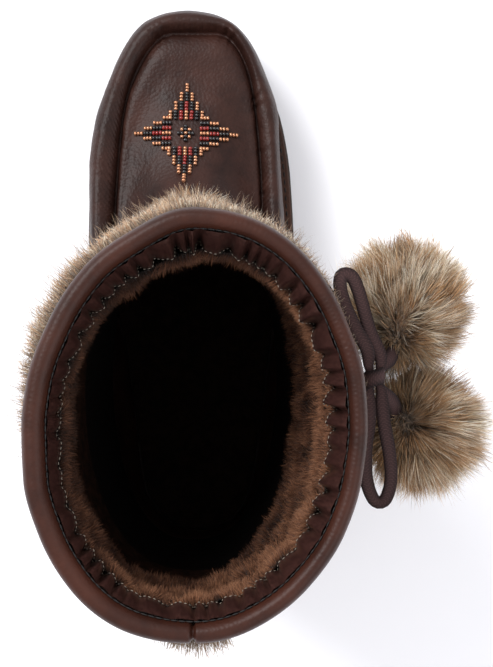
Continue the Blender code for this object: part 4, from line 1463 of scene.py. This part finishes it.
@dataclass(frozen=True)
class Bow:
    """The lace's turn round the shaft, its knot, two loops and two ends."""

    form: BootForm
    width: float = 0.0057
    thickness: float = 0.0013
    pinch: float = 0.5
    height: float = 0.205
    bed: float = 0.0035
    clear: float = 0.0006
    knot_depth: float = 0.0092
    knot_length: float = 0.0100
    knot_height: float = 0.0092
    upper_length: float = 0.046
    lower_length: float = 0.050
    pinch_reach: float = 0.011
    tuck: float = 0.11
    knot_columns: int = 56
    wrap_columns: int = 360
    loop_points: int = 90
    end_points: int = 50

    def middle(self) -> Array:
        """Middle of the knot."""
        low, high = (np.array(corner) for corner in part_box("lace_knot"))
        return (low + high) / 2

    def flat_lace(self, name: str, path: Array, face_up: tuple, gripped: tuple[bool, bool]) -> Thing:
        """A flat woven lace.

        Args:
            name: the piece's name.
            path: (points, 3), its middle line.
            face_up: where its broad face looks at the start and at the end.
            gripped: whether the knot pinches it at its start and at its end.
        Returns:
            The object, with its run in metres as UV.
        """
        count, size = len(path), len(LACE_SECTION)
        along = unit(np.gradient(path, axis=0))
        start, end = np.array(face_up, float)
        look = lerp(start, end, np.linspace(0, 1, count)[:, None])
        look = unit(look - along * (look * along).sum(1)[:, None])
        wide = np.cross(along, look)
        run = run_along(path)
        section = np.array(LACE_SECTION)
        spread = 1 + 0.05 * ripple(path, 0.012, 77)
        for held, gone in zip(gripped, (run, run[-1] - run)):
            if held:
                spread = spread * lerp(self.pinch, 1.0, ease(0.0, self.pinch_reach, gone))
        thick = self.thickness * (1 + 0.8 * (1 - np.clip(spread, 0, 1)))
        across = section[None, :, :1] * self.width * spread[:, None, None]
        lift = look[:, None] * section[None, :, 1:] * thick[:, None, None]
        rings = path[:, None] + wide[:, None] * across + lift
        uv = np.stack(np.meshgrid(section[:, 0] * self.width, run), 2)
        vertices = np.concatenate([rings.reshape(-1, 3), path[:1], path[-1:]])
        uv = np.concatenate([uv.reshape(-1, 2), [[0, 0], [0, run[-1]]]])
        k = np.arange(size)
        n = (k + 1) % size
        first_cap = np.stack([n, k, np.full(size, count * size)], 1)
        last = (count - 1) * size
        last_cap = np.stack([last + k, last + n, np.full(size, count * size + 1)], 1)
        caps = np.concatenate([first_cap, last_cap])
        return mesh_thing(name, vertices, grid_faces(count, size), caps, uv)

    def loop(self, name: str, rows: tuple, length: float, way: int) -> None:
        """One loop of the bow, from the knot's end and back to it.

        Args:
            name: its CAD node.
            rows: its course.
            length: the size that the course is a share of.
            way: 1 towards the toe, -1 towards the heel.
        """
        middle = self.middle()
        start = self.knot_length / 2 + self.form.clear
        first, last = ((-self.tuck, 0.3 * row[1], 0.0) for row in (rows[0], rows[-1]))
        rows = (first, *rows, last)
        points = []
        for along, across, down in rows:
            y = middle[1] + way * (start + along * length)
            points.append((middle[0] + across * length, y, middle[2] - down * length))
        path = through(points, self.loop_points)
        thing = self.flat_lace(name + "_lace", path, ((0, 0, 1), (0, 0, 1)), (True, True))
        seat_piece(thing, LACE, Slot.LACE, name)

    def end(self, pompom: "Pompom", way: int, hair: Thing) -> None:
        """A free end of the lace, from the knot down into its pompom.

        Args:
            pompom: the pompom.
            way: 1 towards the toe, -1 towards the heel.
            hair: the pompom's piece; not used.
        """
        name = "lace_end_" + pompom.side
        start = self.middle() + [self.knot_depth * 0.22, way * self.knot_length * 0.24, 0.0]
        heart, radius = pompom.ball()
        door = heart + pompom.way_in() * radius * 0.80
        bend = lerp(start, door, 0.5) + [0.0012, 0.0, 0.0030]
        path = through([start, bend, door, lerp(door, heart, 0.5), heart], self.end_points)
        wide = replace(self, width=self.width * 1.12)
        thing = wide.flat_lace(name + "_lace", path, ((0, 0, 1), (0.5, 0, 0.9)), (True, False))
        seat_piece(thing, LACE, Slot.LACE, name)

    def knot(self) -> None:
        """The knot: a band of lace drawn tight round the strands, a little askew."""
        middle = self.middle()
        round_it = angles(self.knot_columns)
        rings, across = [], []
        for share, out in KNOT_BAND:
            belly = 1 + 0.10 * np.cos(2 * round_it + 0.6)
            x = (self.knot_depth * 0.40 + out * self.thickness) * np.cos(round_it)
            z = (self.knot_height * 0.38 + out * self.thickness) * np.sin(round_it)
            y = share * self.width * 1.12 * belly + 0.30 * x
            rings.append(middle + np.stack([x, y, z], 1))
            across.append(np.full(len(round_it), share * self.width))
        uv = np.stack([np.array(across), np.tile(round_it * self.knot_depth / 2, (len(rings), 1))], 2)
        seat_piece(grid_thing("lace_knot_wraps", np.array(rings), uv=uv), LACE, Slot.LACE, "lace_knot")

    def wrap(self) -> None:
        """The lace's turn round the shaft."""
        rings = []
        for share, out in LACE_SECTION:
            outward = self.bed + self.clear + (out + 0.5) * self.thickness
            ring = self.form.level_ring(self.height, self.wrap_columns, outward)
            ring[:, 2] += share * self.width
            rings.append(ring)
        grid = np.array(rings)
        across = np.array(column(LACE_SECTION, 0)) * self.width
        uv = np.stack(np.meshgrid(across, run_along(grid[0]), indexing="ij"), 2)
        seat_piece(grid_thing("lace_turn", grid, flip=True, uv=uv), LACE, Slot.LACE, "lace_wrap")


@dataclass(frozen=True)
class Pompom:
    """A ball of fur on a lace's end, whose hair springs from where the lace enters."""

    side: str
    seed: int
    entry: tuple
    shift: tuple
    hairs: int = 44000
    clumps: int = 300
    fullness: float = 1.04
    tone: float = 0.26

    def ball(self) -> tuple[Array, float]:
        """Its heart and radius."""
        low, high = (np.array(corner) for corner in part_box("pompom_" + self.side))
        return (low + high) / 2, float((high - low).max()) / 2

    def way_in(self) -> Array:
        """From its heart to where the lace enters."""
        return unit(np.array(self.entry, float))

    def build(self) -> Thing:
        """The ball of hairs round its heart.

        Returns:
            The piece.
        """
        heart, radius = self.ball()
        entry = self.way_in()
        rng = np.random.default_rng(self.seed)
        clump = unit(rng.normal(size=(self.clumps, 3)))
        comb = rng.normal(size=(self.clumps, 3)) * 0.15
        long = rng.uniform(0.93, 1.12, self.clumps) * self.fullness
        shade = rng.normal(0, 0.24, self.clumps)
        free = unit(rng.normal(size=(self.hairs, 3)))
        own = (free @ clump.T).argmax(1)
        goal = unit(lerp(free, clump[own], 0.30) + comb[own] + rng.normal(size=free.shape) * 0.09)
        near = np.clip(0.5 + 0.5 * (free @ entry), 0, 1)[:, None]
        start = unit(free + entry * (1.5 * near**1.3))
        length = radius * long[own] * rng.uniform(0.74, 1.10, self.hairs)
        length *= rng.choice([0.8, 1.0, 1.16], self.hairs, p=[0.30, 0.65, 0.05])
        length += (goal @ np.array(self.shift)) * MM
        steps = []
        for t in (0.0, 0.5, 1.0):
            way = unit(lerp(start, goal, t**0.9))
            reach = lerp(radius * lerp(0.34, 0.62, near[:, 0] ** 3), length, t**0.7)
            steps.append(heart + way * reach[:, None] - [0, 0, 0.04 * radius * t * t])
        paths = np.stack(steps, 1)
        patch = ripple(paths[:, 2], 0.030, self.seed + 1)
        # Painted shade: hairs that face where the lace enters, towards the knot, are made darker
        tone = self.tone + 0.36 * patch + shade[own] + 0.60 * near[:, 0] ** 4
        tone = tone + rng.normal(0, 0.16, self.hairs)
        tone = np.where(rng.random(self.hairs) < 0.26, rng.uniform(0.75, 0.98, self.hairs), tone)
        width = rng.uniform(0.20, 0.46, self.hairs) * MM
        twist = rng.uniform(0, math.pi, self.hairs)
        look = rng.normal(size=free.shape)
        tone = np.clip(tone, 0.02, 0.98)
        thing = ribbons(f"pompom_{self.side}_hair", paths, look, width, tone, twist)
        return seat_piece(thing, RABBIT_FUR, Slot.FUR, "pompom_" + self.side)


# Foot


@dataclass(frozen=True)
class Foot:
    """Moccasin leather foot with its rolled, puckered seam and beadwork, on a stitched rim and sole."""

    form: BootForm
    columns: int = 820
    steps: int = 4
    groove_ring: int = 8
    pucker_pitch: float = 0.0030
    pucker_depth: float = 0.00055
    pucker_wander: float = 0.012
    pucker_patch: float = 0.018
    crevice: float = 0.0009
    sag: float = 0.00022
    sag_width: float = 0.016
    dimple: float = 0.00010
    dimple_width: float = 0.006
    crease_low: float = 0.026
    crease_high: float = 0.036
    star_station: float = 0.764
    star_offset: float = -0.0010
    star_lean: float = 1.3
    bead_row: float = 0.0027
    bead_step: float = 0.00485
    bead_core: float = 0.0071
    bead_radius: float = 0.00106
    rim_seam: float = 0.0032
    rim_thickness: float = 0.0024

    def outer(self) -> Array:
        """The foot's outer face with its puckers and creases, as a grid.

        Returns:
            (rows, columns, 3).
        """
        edge = self.form.spread_outline(self.columns, 0.03, 0.45)
        rings, shown = self.form.foot_rings(edge)
        grid = rows_between(rings, self.steps)
        level = np.arange(len(grid)) / self.steps
        run = run_along(rings[self.groove_ring])
        wander = 1.5 * ripple_along(run, self.pucker_wander, 3)
        wave = np.abs(np.sin(math.pi * run / self.pucker_pitch + wander))
        strength = 0.55 + 0.45 * ripple_along(run, self.pucker_patch, 4)
        valley = -((1 - wave) ** 1.6) * np.clip(strength, 0.1, 1.2)
        across = hump(level, 7.2, 1.0)
        amount = across[:, None] * (valley * shown)[None, :] * self.pucker_depth
        amount -= hump(level, 8.1, 0.35)[:, None] * shown[None, :] * self.crevice
        sag = self.sag * ripple(grid, self.sag_width, 7)
        amount += sag + self.dimple * ripple(grid, self.dimple_width, 8)
        top = ease(self.crease_low, self.crease_high, grid[..., 2])
        for x, y, degrees, length, width, depth in CREASES:
            away = grid[..., :2] / MM - (x, y)
            c, s = math.cos(math.radians(degrees)), math.sin(math.radians(degrees))
            along, across = away @ (c, s), away @ (-s, c)
            across = across + 0.35 * np.sin(along / 2.1 + x)
            trough = hump(across, 0, width) - 0.45 * hump(across, 1.7 * width, width)
            amount -= depth * MM * top * trough * np.exp(-((along / (length / 2)) ** 4))
        return grid + normals(grid) * amount[..., None]

    def leather(self) -> Array:
        """Makes the hollow foot and gives its outer face.

        Returns:
            (rows, columns, 3).
        """
        outer = self.outer()
        inner = (outer - normals(outer) * self.form.leather)[:: self.steps]
        inner[0, :, 2], inner[1, :, 2] = outer[0, :, 2], outer[self.steps, :, 2]
        inner[-1, :, 2] = outer[-1, :, 2]
        thing = grid_thing("foot_leather_shell", np.concatenate([outer, inner[::-1]]))
        seat_piece(thing, FOOT_LEATHER, Slot.FOOT, "upper")
        return outer

    def surface(self, outer: Array) -> BVHTree:
        """The outer face for finding heights."""
        faces = grid_faces(*outer.shape[:2])
        return BVHTree.FromPolygons([tuple(v) for v in outer.reshape(-1, 3)], faces.tolist())

    def bead_places(self) -> list[tuple[float, float, int, BeadColour]]:
        """Each bead's place in the star, the way its thread runs and its colour.

        Returns:
            For each bead x, y, 1 where its thread runs along x and 0 along y, and the colour.
        """
        copper, black, red = BeadColour.COPPER, BeadColour.BLACK, BeadColour.RED
        from_tip = (copper, black, red, copper)
        pitch = self.bead_step / 3
        places = []
        for turn, (c, s) in enumerate(QUARTERS):
            for row in range(-3, 4):
                groups = 4 - abs(row)
                for k in range(3 * groups):
                    along = self.bead_core + (3 * groups - k - 0.5) * pitch
                    x, y = row * self.bead_row, along
                    places.append((c * x - s * y, s * x + c * y, turn % 2, from_tip[k // 3]))
        places.append((0.0, 0.0, 0, copper))
        for turn, (c, s) in enumerate(QUARTERS):
            for out in (1.85, 3.6):
                places.append((-s * out * MM, c * out * MM, turn % 2, black))
            places.append(((c - s) * 1.9 * MM, (c + s) * 1.9 * MM, turn % 2, copper))
        return places

    def beads(self, leather: BVHTree) -> None:
        """The beadwork, one piece for each colour of bead.

        Args:
            leather: the foot's outer face.
        """
        around, section = 12, 7
        turn = angles(around)
        bulge = angles(section)
        tube = self.bead_radius * 0.36
        ring = self.bead_radius - tube + tube * np.cos(bulge)
        lift = tube * 1.9 * np.sin(bulge)
        donut = np.stack(
            [ring[:, None] * np.cos(turn), lift[:, None] + 0 * turn, ring[:, None] * np.sin(turn)], 2
        ).reshape(-1, 3)
        faces = grid_faces(section, around, looped=True)
        centre = np.array([self.star_offset, float(self.form.station_y(self.star_station))])
        lean = math.radians(self.star_lean)
        c, s = math.cos(lean), math.sin(lean)
        rng = np.random.default_rng(11)
        for number, colour in enumerate(BeadColour):
            vertices, quads = [], []
            for x, y, lengthwise, kind in self.bead_places():
                if kind is not colour:
                    continue
                x, y = c * x + s * y + rng.normal(0, 0.00006), c * y - s * x + rng.normal(0, 0.00005)
                above = Vector((centre[0] + x, centre[1] + y, 0.5))
                hit, normal, _, _ = leather.ray_cast(above, Vector((0, 0, -1)))
                normal = np.array(normal) if normal.z > 0 else -np.array(normal)
                thread = np.array([1.0, 0.0, 0.0]) if lengthwise else np.array([0.0, 1.0, 0.0])
                thread = unit(thread - normal * (thread @ normal))
                axes = np.stack([np.cross(thread, normal), thread, normal])
                place = np.array(hit) + normal * (self.bead_radius * 0.92)
                quads.append(faces + len(vertices) * len(donut))
                vertices.append(place + (donut * rng.uniform(0.94, 1.05)) @ axes)
            name = "beads_" + colour.name.lower()
            thing = mesh_thing(name, np.concatenate(vertices), np.concatenate(quads))
            seat_piece(thing, colour.value, Slot.BEADS, *(["bead_star"] if number == 0 else []))

    def rim(self) -> None:
        """Stitches on the rim strip, and the finishes of rim, sole and footbed."""
        edge = self.form.outline(240)
        line = inset(edge, self.rim_seam)
        top = self.form.seat(line[:, 1]) + self.form.clear + self.rim_thickness
        thing = stitches("rim_stitches", np.column_stack([line, top]), RIM_STITCH)
        seat_piece(thing, DARK_THREAD, Slot.RAND)
        for node, finish in (("outsole", SOLE_RUBBER), ("welt", RAND_LEATHER), ("insole", FOOTBED_WOOL)):
            material = made(finish)
            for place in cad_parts[node].material_slots:
                place.material = material


# Shaft, collar and lining


@dataclass(frozen=True)
class FurShaft:
    """The shaft's hide and its coat of hair."""

    form: BootForm
    hairs: int = 50000
    length: float = 0.026
    shortest: float = 0.0012
    longest: float = 0.0165
    root_gap: float = 0.0003
    depth: float = 0.0050
    rows: int = 24
    locks: int = 84
    seed: int = 21
    hide_grid: tuple[int, int] = (30, 240)
    hide_lift: float = 0.0004
    coat_grid: tuple[int, int] = (64, 360)
    leather_gap: float = 0.0008

    def hide(self) -> None:
        """The skin under the fur, as a hollow tube."""
        outer = self.form.shaft_grid(*self.hide_grid, self.hide_lift)
        inner = self.form.shaft_grid(*self.hide_grid)
        inner -= normals(inner) * self.form.hem_wall
        inner[:, :, 2] = outer[:, :, 2]
        grid = np.concatenate([outer, inner[::-1]])
        uv = np.broadcast_to(HIDE_TONE, (*grid.shape[:2], 2))
        seat_piece(grid_thing("shaft_hide", grid, uv=uv), RABBIT_FUR, Slot.FUR, "fur_shaft")

    def coat(self, name: str, leather: BVHTree, seed: int, length: float, tone: float) -> None:
        """One half of the coat.

        Args:
            name: the piece's name.
            leather: the foot's outer face, which the lowest hairs lie on.
            seed: picks the hairs.
            length: of a hair.
            tone: the coat's middle tone, 0 pale to 1 grey.
        """
        rng = np.random.default_rng(seed)
        grid = self.form.shaft_grid(*self.coat_grid)
        out = normals(grid)
        turn, rise = rng.uniform(0, 1, self.hairs), rng.uniform(0.0, 0.992, self.hairs)
        lock_row = np.floor(rise * self.rows)
        lock = np.floor(turn * self.locks + 0.5 * (lock_row % 2))
        jitter = np.random.default_rng(self.seed).uniform(-0.35, 0.35, (4, 200, 200))
        cell = (lock_row.astype(int) % 200, lock.astype(int) % 200)
        lock_turn = (lock + 0.5 - 0.5 * (lock_row % 2) + jitter[0][cell]) / self.locks
        lock_swing = jitter[1][cell] * 0.9 / self.locks
        lock_long = 1 + 0.4 * jitter[2][cell]
        lock_out = 1 + 0.5 * jitter[3][cell]
        span = float(self.form.shaft_top() - self.form.hem_height)
        drop = length / span * lock_long * rng.uniform(0.66, 1.18, self.hairs)
        extra = read_table(FRINGE, 1, turn) * MM * ease(0.45, 0.85, rise)
        guard = rng.random(self.hairs) < 0.10
        depth = (self.depth + extra) * lock_out * rng.uniform(0.55, 1.20, self.hairs)
        depth = np.clip(depth * np.where(guard, 1.6, 1.0), self.shortest, self.longest)
        own_swing = rng.normal(0, 0.45, self.hairs) / self.locks
        steps = []
        for t in (0.0, 0.5, 1.0):
            at_turn = lerp(turn, lock_turn + lock_swing, 0.22 * t * t) + own_swing * t
            at_rise = rise - drop * t
            base = read_grid(grid, at_rise, at_turn)
            way = read_grid(out, at_rise, at_turn)
            point = base + way * (self.root_gap + depth * (1 - (1 - t) ** 2))[:, None]
            point[:, 2] -= np.clip(-at_rise, 0, None) * span
            steps.append(point)
        paths = np.stack(steps, 1)
        self.lay_on(leather, paths, rise - drop)
        patch = ripple(paths[:, 0], 0.024, 31)
        tones = tone + 0.28 * patch + rng.normal(0, 0.20, self.hairs)
        grizzled = guard | (rng.random(self.hairs) < 0.15)
        tones = np.clip(np.where(grizzled, rng.uniform(0.75, 0.98, self.hairs), tones), 0.02, 0.98)
        width = rng.uniform(0.18, 0.36, self.hairs) * np.where(guard, 0.6, 1.0) * MM
        twist = rng.normal(0, 0.8, self.hairs)
        look = read_grid(out, rise, turn)
        seat_piece(ribbons(name, paths, look, width, tones, twist), RABBIT_FUR, Slot.FUR)

    def lay_on(self, leather: BVHTree, paths: Array, low: Array) -> None:
        """Moves the points of the lowest hairs out of the foot's leather.

        Args:
            leather: the foot's outer face.
            paths: (hairs, 3, 3), changed in place.
            low: each tip's share of the shaft's rise.
        """
        for i in np.flatnonzero(low < 0.04):
            for k in (1, 2):
                place, normal, _, _ = leather.find_nearest(Vector(paths[i, k]))
                away = Vector(paths[i, k]) - place
                if away.dot(normal) < self.leather_gap:
                    paths[i, k] = place + normal * (self.leather_gap + 0.0012 * k)

    def build(self, leather: BVHTree) -> None:
        """Hide and coat.

        Args:
            leather: the foot's outer face.
        """
        self.hide()
        self.coat("shaft_fur_under", leather, self.seed, self.length * 0.85, 0.50)
        self.coat("shaft_fur_over", leather, self.seed + 1, self.length, 0.22)


@dataclass(frozen=True)
class Collar:
    """Rolled binding, gathered band and shearling cuff."""

    form: BootForm
    columns: int = 900
    section: int = 20
    squareness: float = 0.92
    butt_seam: float = 0.0007
    wrinkle_pitch: float = 0.0021
    wrinkle_depth: float = 0.00026
    facing_width: float = 0.0056
    facing_drop: float = 0.019
    facing_top: float = 0.38
    folds: int = 52
    fold_depth: float = 0.0020
    fold_lift: float = 0.0026
    band_hug: float = 0.0009
    stitch_share: float = 0.86
    cuff_depth: float = 0.0048
    cuff_front: float = 0.0034
    fleece_depth: float = 0.0010
    lump_depth: float = 0.0016
    lump_width: float = 0.010
    pile_hairs: int = 112000
    pile_length: float = 0.0050
    lining_grid: tuple[int, int] = (60, 240)
    cuff_rows: tuple[int, int] = (20, 56)

    def roll_width(self, turn: Array) -> Array:
        """The roll's width: broad on the inner side, drawn tight behind the bow."""
        return self.form.binding_width * read_table(ROLL, 1, turn)

    def binding(self) -> None:
        """The rolled leather binding with its cross wrinkles and the butt seam at the back."""
        form = self.form
        base = form.collar_loop(self.columns)
        run = run_along(base)
        turn = np.arange(self.columns) / self.columns
        from_seam = np.minimum(run, run[-1] - run)
        pinch = 0.34 * hump(from_seam, 0, self.butt_seam) + 0.06 * hump(from_seam, 0, 0.006)
        side = hump(turn, 0.30, 0.10)
        bend = np.clip(0.06 + 0.30 * ripple_along(run, 0.030, 41), 0.0, 0.4) + side * 0.45
        wave = np.abs(np.sin(math.pi * run / self.wrinkle_pitch + 2.0 * ripple_along(run, 0.012, 42)))
        furrow = -self.wrinkle_depth * bend * (1 - wave) ** 1.3
        width = self.roll_width(turn)
        plump = 1 - pinch + 0.03 * ripple_along(run, 0.045, 43)
        rings = []
        for k in range(self.section):
            angle = -TURN * (k + 0.5) / self.section
            across = math.copysign(abs(math.cos(angle)) ** self.squareness, math.cos(angle))
            up = math.copysign(abs(math.sin(angle)) ** self.squareness, math.sin(angle))
            crest = max(0.0, math.sin(angle)) ** 0.5
            swell = plump + furrow * crest / 0.005
            half, tall = width / 2 * swell, form.binding_height / 2 * swell
            plan = inset(base, width / 2 - half * across)
            rings.append(np.column_stack([plan, form.collar_height - form.binding_height / 2 + tall * up]))
        thing = grid_thing("collar_roll", np.array(rings))
        seat_piece(thing, BINDING_LEATHER, Slot.BINDING, "collar_binding")

    def facing_rows(self, shares: Array, columns: int) -> Array:
        """Rows of the gathered band.

        Args:
            shares: of the way from the band's top to its lower edge.
            columns: points once round.
        Returns:
            (rows, columns, 3).
        """
        form = self.form
        base = form.collar_loop(columns)
        turn = np.arange(columns) / columns
        full, wide = (read_table(table, 1, turn) for table in (FULLNESS, LEAN))
        line = np.column_stack([np.cos(TURN * turn), np.sin(TURN * turn), 0 * turn]) * 0.07
        wander = 1.9 * ripple(line, 0.020, 51)
        uneven = np.clip(0.80 + 0.60 * ripple(line, 0.012, 53), 0.25, 1.4)
        rings = []
        for share in shares:
            phase = TURN * self.folds * turn + 2.2 * wander + 1.5 * share * ripple(line, 0.030, 54)
            fold = (np.sin(phase) + 0.35 * np.sin(2 * phase + 0.8)) * uneven
            open_out = 0.22 + 0.78 * share**0.6
            hug = self.band_hug * math.sin(math.pi * share)
            wave = full * open_out * self.fold_depth * fold
            lean = share**0.85 * self.facing_width * wide
            plan = inset(base, self.roll_width(turn) + 2 * form.clear + lean + hug + wave)
            z = form.collar_height - form.binding_height * self.facing_top - share * self.facing_drop
            rings.append(np.column_stack([plan, z + self.fold_lift * full * fold * share]))
        return np.array(rings)

    def facing(self) -> None:
        """The gathered satin band, one sheet of cloth."""
        grid = self.facing_rows(np.linspace(0, 1, 15), self.columns)
        thing = grid_thing("facing_band", grid, looped=False)
        seat_piece(thing, SATIN, Slot.SATIN, "collar_facing")

    def seam_rows(self) -> None:
        """The dark stitch line under the roll and the plain running stitch along the band."""
        form = self.form
        base = form.collar_loop(400)
        seam = inset(base, self.roll_width(np.arange(400) / 400) + 0.0001)
        height = form.collar_height - form.binding_height * 0.30
        line = np.column_stack([seam, np.full(len(seam), height)])
        thing = stitches("collar_stitches", line, COLLAR_STITCH)
        seat_piece(thing, DARK_THREAD, Slot.BINDING)
        row = inset(self.facing_rows(np.array([self.stitch_share]), self.columns)[0], 0.0004)
        thing = stitches("facing_stitches", row, FACING_STITCH)
        seat_piece(thing, CREAM_THREAD, Slot.SATIN)

    def cuff_grid(self, rows: int, columns: int) -> Array:
        """The cuff's ground, from the shaft's seam up to the band, thick where the shearling is.

        Args:
            rows: rows of points.
            columns: points once round.
        Returns:
            (rows, columns, 3).
        """
        grid = self.form.shaft_grid(rows, columns)
        rise = np.linspace(0, 1, rows)[:, None]
        turn = np.arange(columns)[None, :] / columns
        low = self.cuff_low(turn)
        front = self.cuff_front * hump(turn, 0.55, 0.13)
        thick = self.fleece_depth + (self.cuff_depth + front) * ease(-0.10, 0.06, rise - low)
        lumps = self.lump_depth * ripple(grid, self.lump_width, 63) * ease(0.0, 0.1, rise - low)
        return grid - normals(grid) * (self.form.hem_wall + thick + lumps)[..., None]

    def cuff_low(self, turn: Array) -> Array:
        """Where the shearling ends and the near-black fleece's painted shade begins, as a share of the
        shaft's rise.
        """
        low = read_table(CUFF_EDGE, 1, turn % 1.0)
        return low + 0.02 * np.sin(TURN * 9 * turn) + 0.015 * np.sin(TURN * 23 * turn + 1)

    def lining(self) -> None:
        """Near-black fleece below, as painted shade deep in the shaft, a shearling cuff above and its short
        pile.
        """
        grid = self.cuff_grid(*self.lining_grid)
        first, last = self.cuff_rows
        # The lower sheet is near-black fleece that paints the shade deep in the shaft
        for name, part, finish in (
            ("lining_painted_shade", grid[: first + 1], SHADE_LINING),
            ("cuff_ground", grid[first:last], CUFF_GROUND),
        ):
            seat_piece(grid_thing(name, part, looped=False, flip=True), finish, Slot.FOOTBED)
        rng = np.random.default_rng(61)
        inward = -normals(grid)
        turn = rng.uniform(0, 1, self.pile_hairs)
        low = self.cuff_low(turn)
        up = rng.uniform(0, 1, self.pile_hairs) ** 0.85
        rise = low - 0.06 + (1.015 - low) * up
        base, way = read_grid(grid, rise, turn), read_grid(inward, rise, turn)
        lump = ripple(base, 0.007, 64)
        lean = np.stack([ripple(base, 0.006, 65 + k) for k in range(3)], 1)
        tall = self.pile_length * (1 + 0.32 * lump) * rng.uniform(0.6, 1.1, self.pile_hairs)
        tip = unit(way + 0.95 * lean + rng.normal(0, 0.38, base.shape) - [0, 0, 0.15])
        paths = np.stack([base - way * 0.0004, base + tip * tall[:, None]], 1)
        # Painted shade: PILE_TONE darkens the pile round the front and the inner side
        wear_and_painted_shade = read_table(PILE_TONE, 1, turn)
        # Painted shade: the pile darkens towards its lower end, deeper in the shaft, and where its lumps dip
        tone = wear_and_painted_shade - 0.32 * lump + 0.55 * (1 - up) ** 1.3 + rng.normal(0, 0.16, self.pile_hairs)
        tone = np.clip(tone, 0.02, 0.98)
        width = rng.uniform(0.30, 0.55, self.pile_hairs) * MM
        look = rng.normal(size=base.shape)
        pile = ribbons("cuff_pile", paths, look, width, tone, np.zeros(self.pile_hairs))
        seat_piece(pile, CUFF_PILE, Slot.FOOTBED)

    def build(self) -> None:
        """The collar from the roll inwards."""
        self.binding()
        self.facing()
        self.seam_rows()
        self.lining()


def main() -> None:
    """Builds the studio and dresses the boot."""
    logging.basicConfig(level=logging.INFO, format="%(name)s %(message)s")
    form = BootForm()
    Studio().build()
    bow = Bow(form)
    bow.knot()
    bow.loop("bow_loop_upper", UPPER_LOOP, bow.upper_length, 1)
    bow.loop("bow_loop_lower", LOWER_LOOP, bow.lower_length, -1)
    upper = Pompom("upper", 5, (-0.26, -0.80, 0.54), (-1.2, -3.0, 0.0), tone=0.10)
    lower = Pompom("lower", 9, (-0.62, 0.20, 0.76), (-1.5, -1.0, 0.0), fullness=1.11, tone=0.20)
    for pompom, way in ((upper, 1), (lower, -1)):
        bow.end(pompom, way, pompom.build())
    bow.wrap()
    foot = Foot(form)
    leather = foot.surface(foot.leather())
    foot.beads(leather)
    foot.rim()
    FurShaft(form).build(leather)
    Collar(form).build()


if __name__ == "__main__":
    main()
